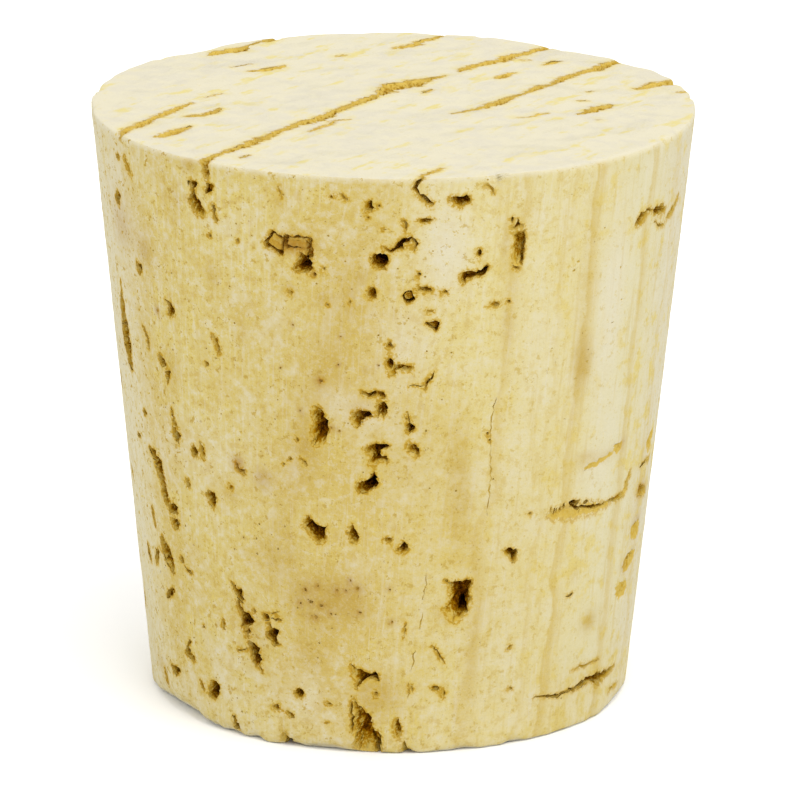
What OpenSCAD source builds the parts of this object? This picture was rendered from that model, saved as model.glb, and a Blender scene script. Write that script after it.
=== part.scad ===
// Tapered cork stopper, one solid piece of natural cork.
// The blank is turned, then crossed by the bark's own pores. They all lie level and run one way,
// along the grain, so each shows by how the blank cuts it: a groove where it lies in an end face,
// a pit where it comes out of the wall end on, and a streak where the wall grazes it.

/* [Blank] */
// Diameter of the wide top end
top_d = 38; // [30:0.5:48]
// Diameter of the narrow bottom end
bottom_d = 30.4; // [24:0.5:40]
// Length from end to end
length = 38; // [26:0.5:50]
// Radius of the worn top rim
top_rim_r = 0.3; // [0.2:0.05:1]
// Radius of the worn bottom rim
bottom_rim_r = 0.4; // [0.2:0.05:1]

/* [Pores] */
// Direction of the grain, in degrees from +X, seen from above
grain_a = 56; // [0:1:90]
// Size of a plain pit in the wall, which the wall's lists multiply
pore_w = 1; // [0.6:0.05:1.3]
// Depth of a plain pit in the wall
pore_depth = 1; // [0.4:0.05:1.6]
// Height of a plain streak in the wall, where a pore grazes it
streak_w = 0.8; // [0.4:0.05:1.2]
// Depth of a plain streak in the wall
streak_depth = 0.6; // [0.3:0.05:1]
// Width of a plain groove in an end face
groove_w = 0.9; // [0.5:0.05:1.3]
// Depth of a plain groove in an end face
groove_depth = 0.8; // [0.4:0.05:1.6]

/* [Hidden] */
top_r = top_d / 2;
bottom_r = bottom_d / 2;
taper_a = atan((top_r - bottom_r) / length);
turned_fn = 96;
rim_steps = 4;
proud = 1;
pit_sides = 9;
unevenness = 0.16;
ribbon_steps = 6;
ribbon_end = 0.3;
ribbon_rise = 4;
wander = 0.25;

// Pits in the wall. Columns: degrees round from the grain's front end, height in percent of the
// length, width and height in pore sizes, lean in degrees, depth in pore depths.
front_pits = [
    [-32, 88.5, 0.8, 1.0, 0, 0.8], [-6, 93, 0.8, 2.0, -18, 1.4], [-1, 91.5, 0.5, 1.3, -8, 1.0],
    [-25, 77.5, 0.8, 0.8, 0, 1.0], [-16, 73, 0.8, 1.2, 0, 0.8], [-36, 65, 0.9, 5.4, -6, 1.2],
    [-25.5, 66, 0.5, 1.7, -15, 0.8], [-19, 62, 0.8, 2.0, -12, 1.2], [-4, 69.5, 0.8, 1.4, 0, 0.6],
    [-6, 65, 0.5, 0.6, 0, 0.6], [-30, 52, 0.7, 0.6, 0, 0.8], [-16.5, 52, 0.7, 2.3, -10, 1.0],
    [-34.5, 47, 0.8, 0.6, 0, 0.6], [-12, 49, 0.7, 0.8, 0, 1.2], [-9, 49.5, 0.5, 1.4, 0, 0.6],
    [-27.5, 44, 1.1, 3.2, -28, 1.4], [-21.5, 37.5, 0.9, 3.2, -16, 1.4],
    [0.5, 48, 0.6, 0.8, 25, 1.2], [-7, 41, 0.7, 1.2, -12, 1.0], [-2, 44, 0.6, 0.7, 0, 0.8],
    [-31, 34, 0.6, 1.4, 0, 0.6], [-36, 26.5, 0.7, 1.3, 0, 0.6], [-25.5, 28.5, 1.1, 2.7, 0, 1.2],
    [-25, 21.5, 1.0, 0.9, 0, 0.6], [-6, 19.5, 0.5, 0.8, 0, 0.6], [-1.5, 24.5, 0.7, 2.4, -12, 1.2],
    [0, 21, 0.7, 0.7, 0, 1.4], [2, 15.5, 1.0, 2.4, -10, 1.4], [7, 19, 0.9, 1.2, 0, 1.4],
    [5.5, 22.5, 0.5, 1.2, 12, 1.0], [8.5, 22.5, 0.5, 1.2, -8, 1.0], [-19.5, 12.5, 0.9, 1.5, 0, 1.0],
    [-27, 7.5, 1.4, 1.5, 0, 1.2], [-11.5, 7, 1.1, 1.4, 0, 1.6], [-16, 7.5, 0.4, 0.7, 0, 0.6],
    [-5, 2.5, 1.0, 1.6, 0, 1.0], [7, 7, 0.7, 0.6, 0, 0.6], [10.5, 6, 0.8, 0.6, 0, 0.8],
    [13, 10, 0.7, 0.9, 0, 1.0], [-3, 98, 0.5, 3.0, 0, 1.0]
];
centre_pits = [
    [11.5, 87.5, 1.0, 1.2, 0, 1.0], [16, 88.5, 1.7, 0.8, 0, 1.2], [17, 85, 0.9, 1.1, 0, 1.6],
    [30, 95.5, 0.7, 0.7, 0, 1.2], [40, 93, 0.9, 0.6, 0, 1.0], [36, 92, 0.5, 0.9, 0, 0.8],
    [40, 99, 1.5, 0.5, 35, 1.0], [39.5, 97, 1.7, 0.6, -40, 1.2], [33, 88.5, 0.7, 1.2, 20, 1.2],
    [36.5, 89, 1.2, 0.7, 0, 1.2], [31.5, 85.5, 1.1, 1.2, 0, 1.6], [30, 80.5, 0.9, 1.0, 0, 1.0],
    [37, 80, 0.9, 1.1, 0, 0.8], [40, 81.5, 1.0, 1.3, 0, 1.0], [41.5, 76.5, 1.0, 1.5, 0, 1.0],
    [46.5, 96, 1.4, 0.8, 0, 1.4], [49.5, 83.5, 2.2, 1.1, 30, 1.2], [51, 86.5, 0.7, 0.8, 0, 1.0],
    [43.5, 80.5, 0.7, 0.5, 0, 0.6], [58.5, 87, 0.8, 2.6, -10, 1.4], [54, 78, 1.0, 0.7, 0, 1.0],
    [57, 78, 0.5, 0.5, 0, 0.6], [34, 71.5, 0.8, 0.7, 0, 1.0], [35.5, 67.5, 1.7, 0.6, 0, 1.2],
    [41, 66, 0.4, 1.2, 20, 0.8], [32.5, 61.5, 0.7, 1.1, 0, 1.2], [28, 59, 1.3, 1.2, 0, 1.2],
    [19.5, 57, 1.1, 2.6, 0, 1.4], [38, 57.5, 0.8, 1.0, 0, 1.0], [31.5, 53, 1.8, 1.9, 0, 1.2],
    [38.5, 53.5, 0.8, 0.8, 0, 1.0], [29, 48, 1.4, 1.6, 0, 1.6], [16, 50.5, 0.5, 0.5, 0, 0.8],
    [18, 39, 1.8, 2.0, -20, 1.4], [26, 38.5, 0.7, 1.4, 0, 1.2], [33.5, 38, 0.7, 0.5, 0, 0.8],
    [36.5, 36.5, 0.9, 0.8, 0, 1.2], [49.5, 27, 2.1, 2.8, 0, 1.6], [61, 34.5, 1.0, 1.2, 0, 1.0],
    [78, 24.5, 0.8, 0.4, 0, 0.6], [28.5, 13.5, 2.1, 1.5, 0, 1.2], [36, 4, 0.7, 1.7, 0, 1.0],
    [45, 17.5, 1.0, 1.1, 0, 0.8], [45, 11.5, 1.2, 0.5, -20, 0.6], [62, 17.5, 0.5, 0.4, 0, 0.6]
];
back_pits = [
    [136, 90, 0.9, 1.6, 12, 1.2], [148, 84, 1.4, 0.9, 0, 1.2], [161, 93, 0.7, 1.2, -14, 1.0],
    [176, 86, 1.2, 1.8, 10, 1.4], [193, 91, 0.8, 0.8, 0, 1.0], [207, 82, 0.7, 2.2, -8, 1.2],
    [222, 89, 0.9, 1.1, 0, 1.0], [141, 70, 0.7, 2.8, 6, 1.2], [157, 74, 1.1, 1.0, 0, 1.4],
    [170, 66, 0.8, 0.9, 0, 1.0], [184, 72, 1.7, 1.2, 0, 1.4], [201, 64, 0.9, 1.4, 15, 1.2],
    [216, 70, 0.6, 0.8, 0, 0.8], [150, 54, 1.3, 1.9, -12, 1.4], [166, 49, 0.7, 1.0, 0, 1.0],
    [178, 56, 0.9, 2.6, 8, 1.4], [195, 47, 1.5, 1.1, 0, 1.2], [212, 53, 0.8, 1.8, -16, 1.2],
    [138, 36, 0.8, 1.0, 0, 1.0], [155, 33, 1.0, 2.2, 14, 1.2], [173, 37, 1.6, 1.7, 0, 1.6],
    [188, 30, 0.7, 0.8, 0, 0.8], [204, 35, 1.1, 1.3, 0, 1.2], [220, 28, 0.7, 2.0, 10, 1.0],
    [146, 18, 1.2, 0.9, 0, 1.2], [162, 14, 0.8, 1.5, -10, 1.2], [181, 17, 1.3, 2.0, 12, 1.4],
    [198, 12, 0.7, 0.8, 0, 0.8], [214, 16, 1.4, 1.0, 0, 1.2], [169, 3, 1.2, 1.8, 0, 1.2]
];
// The deep notch in the bottom rim steps up and to the side from its widest part
notch_pits = [
    [28.5, 1, 2.2, 2.2, 0, 2.0], [28, 5.5, 1.5, 2.2, 0, 1.8], [26, 9, 0.6, 1.6, 0, 1.2]
];
// Chips broken out of the bottom rim, widest at the left of the front
bottom_chips = [
    [-30, 0, 6.5, 2.4, 0, 0.6], [-17, 0, 2.6, 1.5, 0, 0.5], [-6, 0, 2.2, 1.0, 0, 0.4],
    [1, 0, 1.5, 1.4, 0, 0.6], [11, 0, 2.0, 1.2, 0, 0.5], [21, 0, 2.4, 0.8, 0, 0.4],
    [39, 0, 1.3, 1.0, 0, 0.5], [64, 0, 1.4, 0.9, 0, 0.4], [76, 0, 2.2, 0.7, 0, 0.3],
    [110, 0, 4.5, 1.2, 0, 0.4], [140, 0, 1.4, 1.0, 0, 0.5], [188, 0, 2.6, 1.4, 0, 0.6],
    [232, 0, 1.6, 0.9, 0, 0.5], [254, 0, 3.0, 1.2, 0, 0.4], [-74, 0, 1.8, 1.0, 0, 0.5]
];
// Chips broken out of the top rim
top_chips = [
    [-51, 100, 1.2, 0.7, 0, 0.4], [-30, 100, 1.5, 0.8, 0, 0.4], [22, 100, 1.0, 0.6, 0, 0.3],
    [70, 100, 1.8, 0.7, 0, 0.4], [92, 100, 2.4, 0.6, 0, 0.3], [131, 100, 1.2, 0.9, 0, 0.5],
    [158, 100, 2.0, 0.7, 0, 0.4], [205, 100, 1.4, 0.8, 0, 0.4], [-104, 100, 1.6, 0.7, 0, 0.4]
];
// Streaks in the wall. Columns: degrees round to the middle, height in percent of the length,
// length in percent of the top radius, height in streak sizes, lean in degrees, depth in streak depths.
wall_streaks = [
    [98, 87.5, 32, 1.1, 3, 1.4], [84, 47.5, 28, 1.5, 4, 0.8], [83.5, 40.5, 46, 1.4, -2, 1.4],
    [107, 44.5, 17, 1.8, 8, 1.4], [104, 38, 16, 1.6, 6, 1.2], [104, 31, 17, 1.7, 6, 1.2],
    [101.5, 25.5, 17, 1.6, 8, 1.4], [99, 21, 16, 1.8, 6, 1.0], [86, 7.5, 46, 0.8, 1, 1.4],
    [89, 10.5, 20, 0.5, -1, 0.6],
    [-70, 91, 24, 0.8, 6, 1.0], [-98, 83, 40, 0.9, 3, 1.2], [-76, 70, 30, 1.0, 4, 1.2],
    [-112, 62, 26, 0.7, -3, 1.0], [-88, 52, 44, 0.9, 2, 1.4], [-104, 38, 34, 0.8, 5, 1.0],
    [-74, 30, 22, 1.1, 6, 1.2], [-94, 17, 38, 0.9, 2, 1.2], [-118, 9, 20, 0.8, 4, 1.0]
];
// Grooves in the end faces. Columns: place across the grain, then where it starts and ends along
// the grain, in percent of that end's radius, width in groove sizes, depth in groove depths.
top_grooves = [
    [6.5, -102, -50, 1.1, 1.1], [8.5, -62, -2, 1.1, 1.1], [9.5, -6, 44, 2.0, 1.4],
    [49.5, -90, -46, 0.8, 0.9], [53.5, -56, -22, 0.5, 0.6], [36, -84, -65, 0.9, 1.2],
    [43, -56, -38, 0.6, 1.0], [86.5, 16, 54, 1.2, 0.9], [62, 6, 24, 0.8, 0.8],
    [40.5, 60, 94, 0.6, 0.6], [7, 48, 66, 0.9, 1.2], [3.5, 62, 104, 0.8, 0.9],
    [-26.5, -3, 36, 0.9, 1.1], [-28.5, 30, 100, 1.1, 1.2], [-11, 46, 58, 0.7, 0.8],
    [-13, 72, 86, 0.7, 0.8], [-59, 20, 42, 1.1, 1.4], [-58.5, 61, 84, 1.3, 1.2]
];
bottom_grooves = [
    [-62, -82, -20, 1.1, 1.0], [-38, -30, 60, 1.2, 1.3], [-16, -102, -34, 0.9, 1.0],
    [22, 12, 72, 1.0, 1.1], [41, -80, 8, 1.4, 1.3], [64, -8, 80, 0.8, 0.8]
];

function wall_r(z) = bottom_r + (top_r - bottom_r) * z / length;

// Arc of a worn rim, from one angle to the other round its centre
function rim_arc(centre, r, from_a, to_a) = [
    for (k = [0 : rim_steps])
        let (a = from_a + (to_a - from_a) * k / rim_steps)
        centre + r * [cos(a), sin(a)]
];

// Centre of a rim radius that touches the wall and the end face at height z
function rim_centre(z, r, inward) =
    let (centre_z = z + inward * r)
    [wall_r(centre_z) - r / cos(taper_a), centre_z];

// Uneven closed outline about the origin
function pit_outline(wide, tall, seed) = [
    for (k = [0 : pit_sides - 1])
        let (a = 360 * k / pit_sides, reach = 1 + unevenness * sin(97 * seed + 151 * k))
        reach / 2 * [wide * cos(a), tall * sin(a)]
];

// Half width of a ribbon at a share t of its length: it soon opens from its pinched ends
function ribbon_half(wide, t, seed) =
    let (opening = min(1, ribbon_end + ribbon_rise * min(t, 1 - t)))
    wide / 2 * opening * (1 + unevenness * sin(61 * seed + 500 * t));

// Wavering band along X with pinched ends, one long side out and the other back
function ribbon_outline(long, wide, seed) =
    let (
        shares = [for (k = [0 : ribbon_steps]) k / ribbon_steps],
        middle = [for (t = shares) wander * wide * sin(83 * seed + 330 * t)]
    )
    concat(
        [for (k = [0 : ribbon_steps])
            [long * (shares[k] - 0.5), middle[k] - ribbon_half(wide, shares[k], seed)]],
        [for (k = [ribbon_steps : -1 : 0])
            [long * (shares[k] - 0.5), middle[k] + ribbon_half(wide, shares[k], seed + 1)]]
    );

// Turned blank with both rims worn round
module blank() {
    rotate_extrude($fn = turned_fn)
        polygon(concat(
            [[0, 0]],
            rim_arc(rim_centre(0, bottom_rim_r, 1), bottom_rim_r, -90, -taper_a),
            rim_arc(rim_centre(length, top_rim_r, -1), top_rim_r, -taper_a, 90),
            [[0, length]]
        ));
}

// Puts a drawing on the wall, its X level to the right and its Z outwards, as seen from outside
module on_wall(turn, height, lean) {
    z = length * height / 100;
    rotate([0, 0, 180 + turn])
        translate([wall_r(z), 0, z])
            rotate([0, taper_a, 0])
                rotate([90, 0, 90])
                    rotate([0, 0, lean])
                        children();
}

// Cuts the drawing to a depth, and clears the surface above it
module sunk(depth) {
    translate([0, 0, -depth])
        linear_extrude(depth + proud)
            children();
}

module pits(rows) {
    for (row = rows)
        on_wall(row[0], row[1], row[4])
            sunk(pore_depth * row[5])
                polygon(pit_outline(pore_w * row[2], pore_w * row[3], row[0] + row[1]));
}

module streaks(rows) {
    for (row = rows)
        on_wall(row[0], row[1], row[4])
            sunk(streak_depth * row[5])
                polygon(ribbon_outline(top_r * row[2] / 100, streak_w * row[3], row[0] + row[1]));
}

// Grooves in one end face, which lies at z = 0 and faces +Z
module grooves(rows, end_r) {
    for (row = rows) {
        start = end_r * row[1] / 100;
        end = end_r * row[2] / 100;
        translate([(start + end) / 2, end_r * row[0] / 100, 0])
            sunk(groove_depth * row[4])
                polygon(ribbon_outline(end - start, groove_w * row[3], row[0] + row[1]));
    }
}

module pores() {
    pits(front_pits);
    pits(centre_pits);
    pits(back_pits);
    pits(notch_pits);
    pits(bottom_chips);
    pits(top_chips);
    streaks(wall_streaks);
    translate([0, 0, length])
        grooves(top_grooves, top_r);
    mirror([0, 0, 1])
        grooves(bottom_grooves, bottom_r);
}

module stopper() {
    color("burlywood")
        difference() {
            blank();
            rotate([0, 0, grain_a])
                pores();
        }
}

stopper();
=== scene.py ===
"""Tapered cork stopper: one piece of natural cork, turned to a taper and crossed by the bark's pores.

The pores lie level and run one way through the cork. They show as grooves in the two ends, as pits
where they come out of the wall end on, and as long streaks where the wall grazes them.
"""

import logging
import math
from dataclasses import dataclass
from enum import Enum
from typing import Any

import bpy
import numpy as np
from mathutils import Matrix, Vector
from mathutils.geometry import delaunay_2d_cdt


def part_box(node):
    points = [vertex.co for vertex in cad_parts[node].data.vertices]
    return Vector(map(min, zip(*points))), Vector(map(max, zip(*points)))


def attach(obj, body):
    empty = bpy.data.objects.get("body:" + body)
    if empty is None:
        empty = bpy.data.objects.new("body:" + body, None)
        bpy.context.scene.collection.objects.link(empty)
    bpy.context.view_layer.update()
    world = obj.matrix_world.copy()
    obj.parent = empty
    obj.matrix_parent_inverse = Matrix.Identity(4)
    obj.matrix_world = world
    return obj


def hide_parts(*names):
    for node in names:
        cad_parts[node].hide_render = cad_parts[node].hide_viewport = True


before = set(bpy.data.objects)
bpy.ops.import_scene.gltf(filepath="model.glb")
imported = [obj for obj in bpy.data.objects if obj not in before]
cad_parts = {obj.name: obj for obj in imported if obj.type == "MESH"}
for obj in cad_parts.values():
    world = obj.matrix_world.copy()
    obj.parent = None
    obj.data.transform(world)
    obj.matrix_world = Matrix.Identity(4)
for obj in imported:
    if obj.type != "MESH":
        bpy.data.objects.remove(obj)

LOG = logging.getLogger("cork_stopper")
MM = 0.001
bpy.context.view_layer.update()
STOPPER = "stopper"
# Distance between the points of a mouth and of a path, in mm
RING_STEP = 0.15
PATH_STEP = 0.22
# Depth of the small dots, in mm, and how far and how strongly a dark one stains the cork round it
DARK_DOT_DEPTH = 0.14
PALE_DOT_DEPTH = 0.08
DOT_SPREAD = 1.5
DOT_STRENGTH = 0.6
# What the studio's light multiplies the cork's own colour by
LIGHT_GAIN = 1.45
Corners = tuple[tuple[float, float], ...]
Stations = tuple[tuple[float, float, float], ...]
Faces = list[tuple[int, ...]]


class End(Enum):
    """The two flat ends of the stopper, with the way that each one faces along Z."""

    TOP = 1
    BASE = -1


def curve(stations: np.ndarray, step: float, closed: bool = False) -> np.ndarray:
    """Runs a smooth curve through stations.

    Args:
        stations: Rows whose first two columns are a place in mm.
        step: Distance between the points of the curve, in mm.
        closed: Whether the curve comes back to its start.

    Returns:
        Rows along the curve, with the other columns carried along.
    """
    if closed:
        padded = np.vstack([stations[-1:], stations, stations[:2]])
    else:
        padded = np.vstack([2 * stations[0] - stations[1], stations, 2 * stations[-1] - stations[-2]])
    rows = []
    for before, start, end, after in zip(padded, padded[1:], padded[2:], padded[3:]):
        count = max(1, round(float(np.linalg.norm((end - start)[:2])) / step))
        for t in np.arange(count) / count:
            bend = 2 * before - 5 * start + 4 * end - after + t * (3 * (start - end) + after - before)
            rows.append(start + 0.5 * t * (end - before + t * bend))
    if not closed:
        rows.append(stations[-1])
    return np.array(rows)


@dataclass(frozen=True)
class Pit:
    """A pore that comes out of the wall end on, with an uneven oval mouth. Lengths are in mm.

    Args:
        bearing: Degrees round the wall from the front, positive to the right.
        height: Height above the base.
        wide: Width of the mouth.
        tall: Height of the mouth.
        depth: How deep the pore stays open.
        lean: Degrees that the mouth is turned, positive to the left at its top.
        plug: Height of the tissue left inside, from 0 for none to 1 for level with the wall.
    """

    bearing: float
    height: float
    wide: float
    tall: float
    depth: float = 1.0
    lean: float = 0.0
    plug: float = 0.0
    LEAST_POINTS = 9
    UNEVEN = ((2, 0.07), (3, 0.09), (4, 0.07), (5, 0.05), (7, 0.05), (9, 0.04))

    def mouth(self, rng: np.random.Generator) -> np.ndarray:
        """Draws the mouth.

        Args:
            rng: Source of the unevenness.

        Returns:
            Points round the mouth, to the right and up from its middle.
        """
        count = max(self.LEAST_POINTS, round(math.pi * (self.wide + self.tall) / 2 / RING_STEP))
        turn = np.arange(count) * math.tau / count
        reach = np.ones(count)
        for waves, share in self.UNEVEN:
            reach += share * rng.normal() * np.cos(waves * turn + rng.uniform(0, math.tau))
        across = self.wide / 2 * reach * np.cos(turn)
        upward = self.tall / 2 * reach * np.sin(turn)
        lean = math.radians(self.lean)
        return np.stack([across * math.cos(lean) - upward * math.sin(lean),
                         across * math.sin(lean) + upward * math.cos(lean)], 1)


@dataclass(frozen=True)
class Hollow:
    """A pore in the wall whose mouth has a shape of its own. Lengths are in mm.

    Args:
        bearing: Degrees round the wall from the front, positive to the right.
        height: Height above the base.
        corners: Corners of the mouth, to the right and up from its middle.
        depth: How deep the pore stays open.
        plug: Height of the tissue left inside, from 0 for none to 1 for level with the wall.
    """

    bearing: float
    height: float
    corners: Corners
    depth: float = 1.0
    plug: float = 0.0
    JITTER = 0.055

    def mouth(self, rng: np.random.Generator) -> np.ndarray:
        """Draws the mouth, as points to the right and up from its middle, with unevenness from rng."""
        ring = curve(np.array(self.corners), RING_STEP, closed=True)
        return ring + self.JITTER * rng.normal(size=ring.shape)


@dataclass(frozen=True)
class Crack:
    """A narrow opening that runs along the wall.

    Args:
        path: Stations of bearing in degrees, height in mm and width in mm.
        depth: Depth in mm.
    """

    path: Stations
    depth: float = 0.8


@dataclass(frozen=True)
class Groove:
    """A pore cut open along its length in an end face.

    Args:
        path: Stations in mm: along the grain from the axis, across the grain, and width.
        depth: Depth in mm.
        end: The end face that it lies in.
    """

    path: Stations
    depth: float = 1.0
    end: End = End.TOP


class Tint(Enum):
    """The kinds of stain, each with the name of the mesh attribute that holds its strength."""

    OCHRE = "stain"
    BROWN = "shade"
    PALE = "bleach"


@dataclass(frozen=True)
class Stain:
    """A soft patch of another colour in the wall, with no opening.

    Args:
        bearing: Degrees round the wall from the front.
        height: Height above the base, in mm.
        wide: Width in mm.
        tall: Height in mm.
        strength: How strong it is, from 0 to 1.
        lean: Degrees that it is turned, positive to the left at its top.
    """

    bearing: float
    height: float
    wide: float
    tall: float
    strength: float = 1.0
    lean: float = 0.0


@dataclass(frozen=True)
class Wear:
    """A stretch of a rim that is worn or chipped further than the rest.

    Args:
        bearing: Middle of the stretch, in degrees.
        spread: Half of its length, in degrees.
        extra: What it adds to the rim's radius, in mm.
    """

    bearing: float
    spread: float
    extra: float


# Front left, upper third
UPPER_LEFT = (
    Hollow(-40, 35.4, ((-0.6, 1.1), (0.2, 1.2), (0.1, 0.7), (0, 0.3), (0.3, -0.1), (0.7, -0.6), (0.7, -1.1),
            (0.2, -1.2), (-0.4, -0.7), (-0.6, -0.2), (-0.3, 0.3), (-0.4, 0.8)), 1.2),
    Hollow(-36.5, 36.3, ((0, 0.4), (0.4, 0.2), (0.1, -0.3), (-0.3, -0.4), (-0.2, 0)), 0.7, 0.5),
    Hollow(-35.5, 34.8, ((-0.2, 0.5), (0, 0.5), (0.1, 0), (0.3, -0.6), (0, -0.6), (-0.1, -0.1)), 1),
    Hollow(-66.5, 33.6, ((-0.1, 0.5), (0.4, 0.3), (0, -0.5), (-0.5, -0.2)), 1.4),
    Pit(-64.5, 36.4, 0.5, 0.5, 0.6, -30), Pit(-37, 33.2, 0.4, 0.35, 0.5), Pit(-30.5, 33.2, 0.25, 0.35, 0.4),
    Pit(-59.5, 29.6, 0.8, 0.8, 1.2),
    Hollow(-49.5, 27.6, ((-0.4, 0.6), (0.2, 0.4), (0.5, 0), (0, -0.5), (-0.3, -0.4), (-0.2, 0.2)), 1.3),
    Crack(((-36.5, 38.6, 0.5), (-37, 37.6, 0.4), (-37, 37.1, 0.5), (-36.5, 36.8, 0.2)), 0.7),
    Crack(((-61.5, 36.8, 0.3), (-60.5, 36, 0.5), (-59, 35.4, 0.3)), 0.2),
    Crack(((-70.2, 28, 0.1), (-70.4, 27.2, 0.15), (-71, 26.4, 0.9), (-70.7, 25, 1.2), (-70.5, 24, 1.4),
          (-69.7, 23.2, 1.1), (-68.7, 22.1, 0.5)), 1.1),
    Crack(((-60.5, 25.8, 0.25), (-59, 25.2, 0.35), (-58.5, 24.3, 0.2)), 0.4),
    Crack(((-38, 26.8, 0.3), (-37, 26.2, 0.4), (-36.5, 25.5, 0.3)), 0.3),
    Crack(((-55, 24.3, 0.4), (-53.5, 23.9, 0.6), (-53, 23.6, 0.4)), 0.9),
)
# Front left, middle
MIDDLE_LEFT = (
    Hollow(-52, 23, ((-0.4, 0.3), (0.3, 0.5), (0.1, 0.1), (-0.1, -0.4), (-0.3, 0)), 1.5),
    Hollow(-51, 19.2, ((-0.4, 0.5), (0, 0.6), (0.4, 0.1), (0.1, -0.5), (-0.2, -0.2)), 1.5),
    Pit(-40, 24.7, 0.4, 0.4, 0.5), Pit(-63.5, 19.8, 0.6, 0.45, 1.2, -20), Pit(-68.5, 17.9, 0.7, 0.35, 1),
    Pit(-45.5, 18.6, 0.6, 0.85, 1.5), Pit(-48.5, 16.3, 0.55, 0.65, 0.5), Pit(-36, 16.8, 0.5, 0.65, 0.3),
    Hollow(-54.5, 14.2, ((-0.6, 0.1), (0.2, 0.3), (0.5, 0), (0.4, -0.4), (-0.1, -0.4), (-0.5, -0.4)), 1.8),
    Hollow(-54.5, 13.2, ((-0.5, 0.3), (0.3, 0.3), (0.5, 0.1), (0.3, -0.5), (0, -0.5), (-0.5, -0.1)), 0.9),
    Hollow(-41.5, 15.6, ((-0.3, 0.6), (0.4, 0.5), (0.4, -0.1), (0.1, -0.6), (-0.1, -0.4), (-0.3, 0.1)), 1.4),
    Crack(((-52, 21, 0.2), (-51.5, 20.2, 0.3), (-51, 19.8, 0.5)), 0.8),
    Crack(((-43.5, 19.4, 0.25), (-43, 18.8, 0.45), (-42.5, 18.2, 0.3)), 0.3),
    Crack(((-63, 17.6, 0.3), (-61, 17.2, 0.7), (-59.5, 16.8, 0.9), (-59, 16.2, 0.8), (-58, 15.7, 0.7),
          (-57.5, 14.9, 0.7), (-56.5, 14.4, 0.7)), 1),
    Crack(((-34, 18.6, 0.15), (-33.5, 18.3, 0.3), (-32.5, 18, 0.3), (-32, 17.8, 0.15)), 0.8),
    Crack(((-65, 13.6, 0.2), (-64.5, 12.9, 0.3), (-64, 12.2, 0.2)), 0.4),
)
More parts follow.
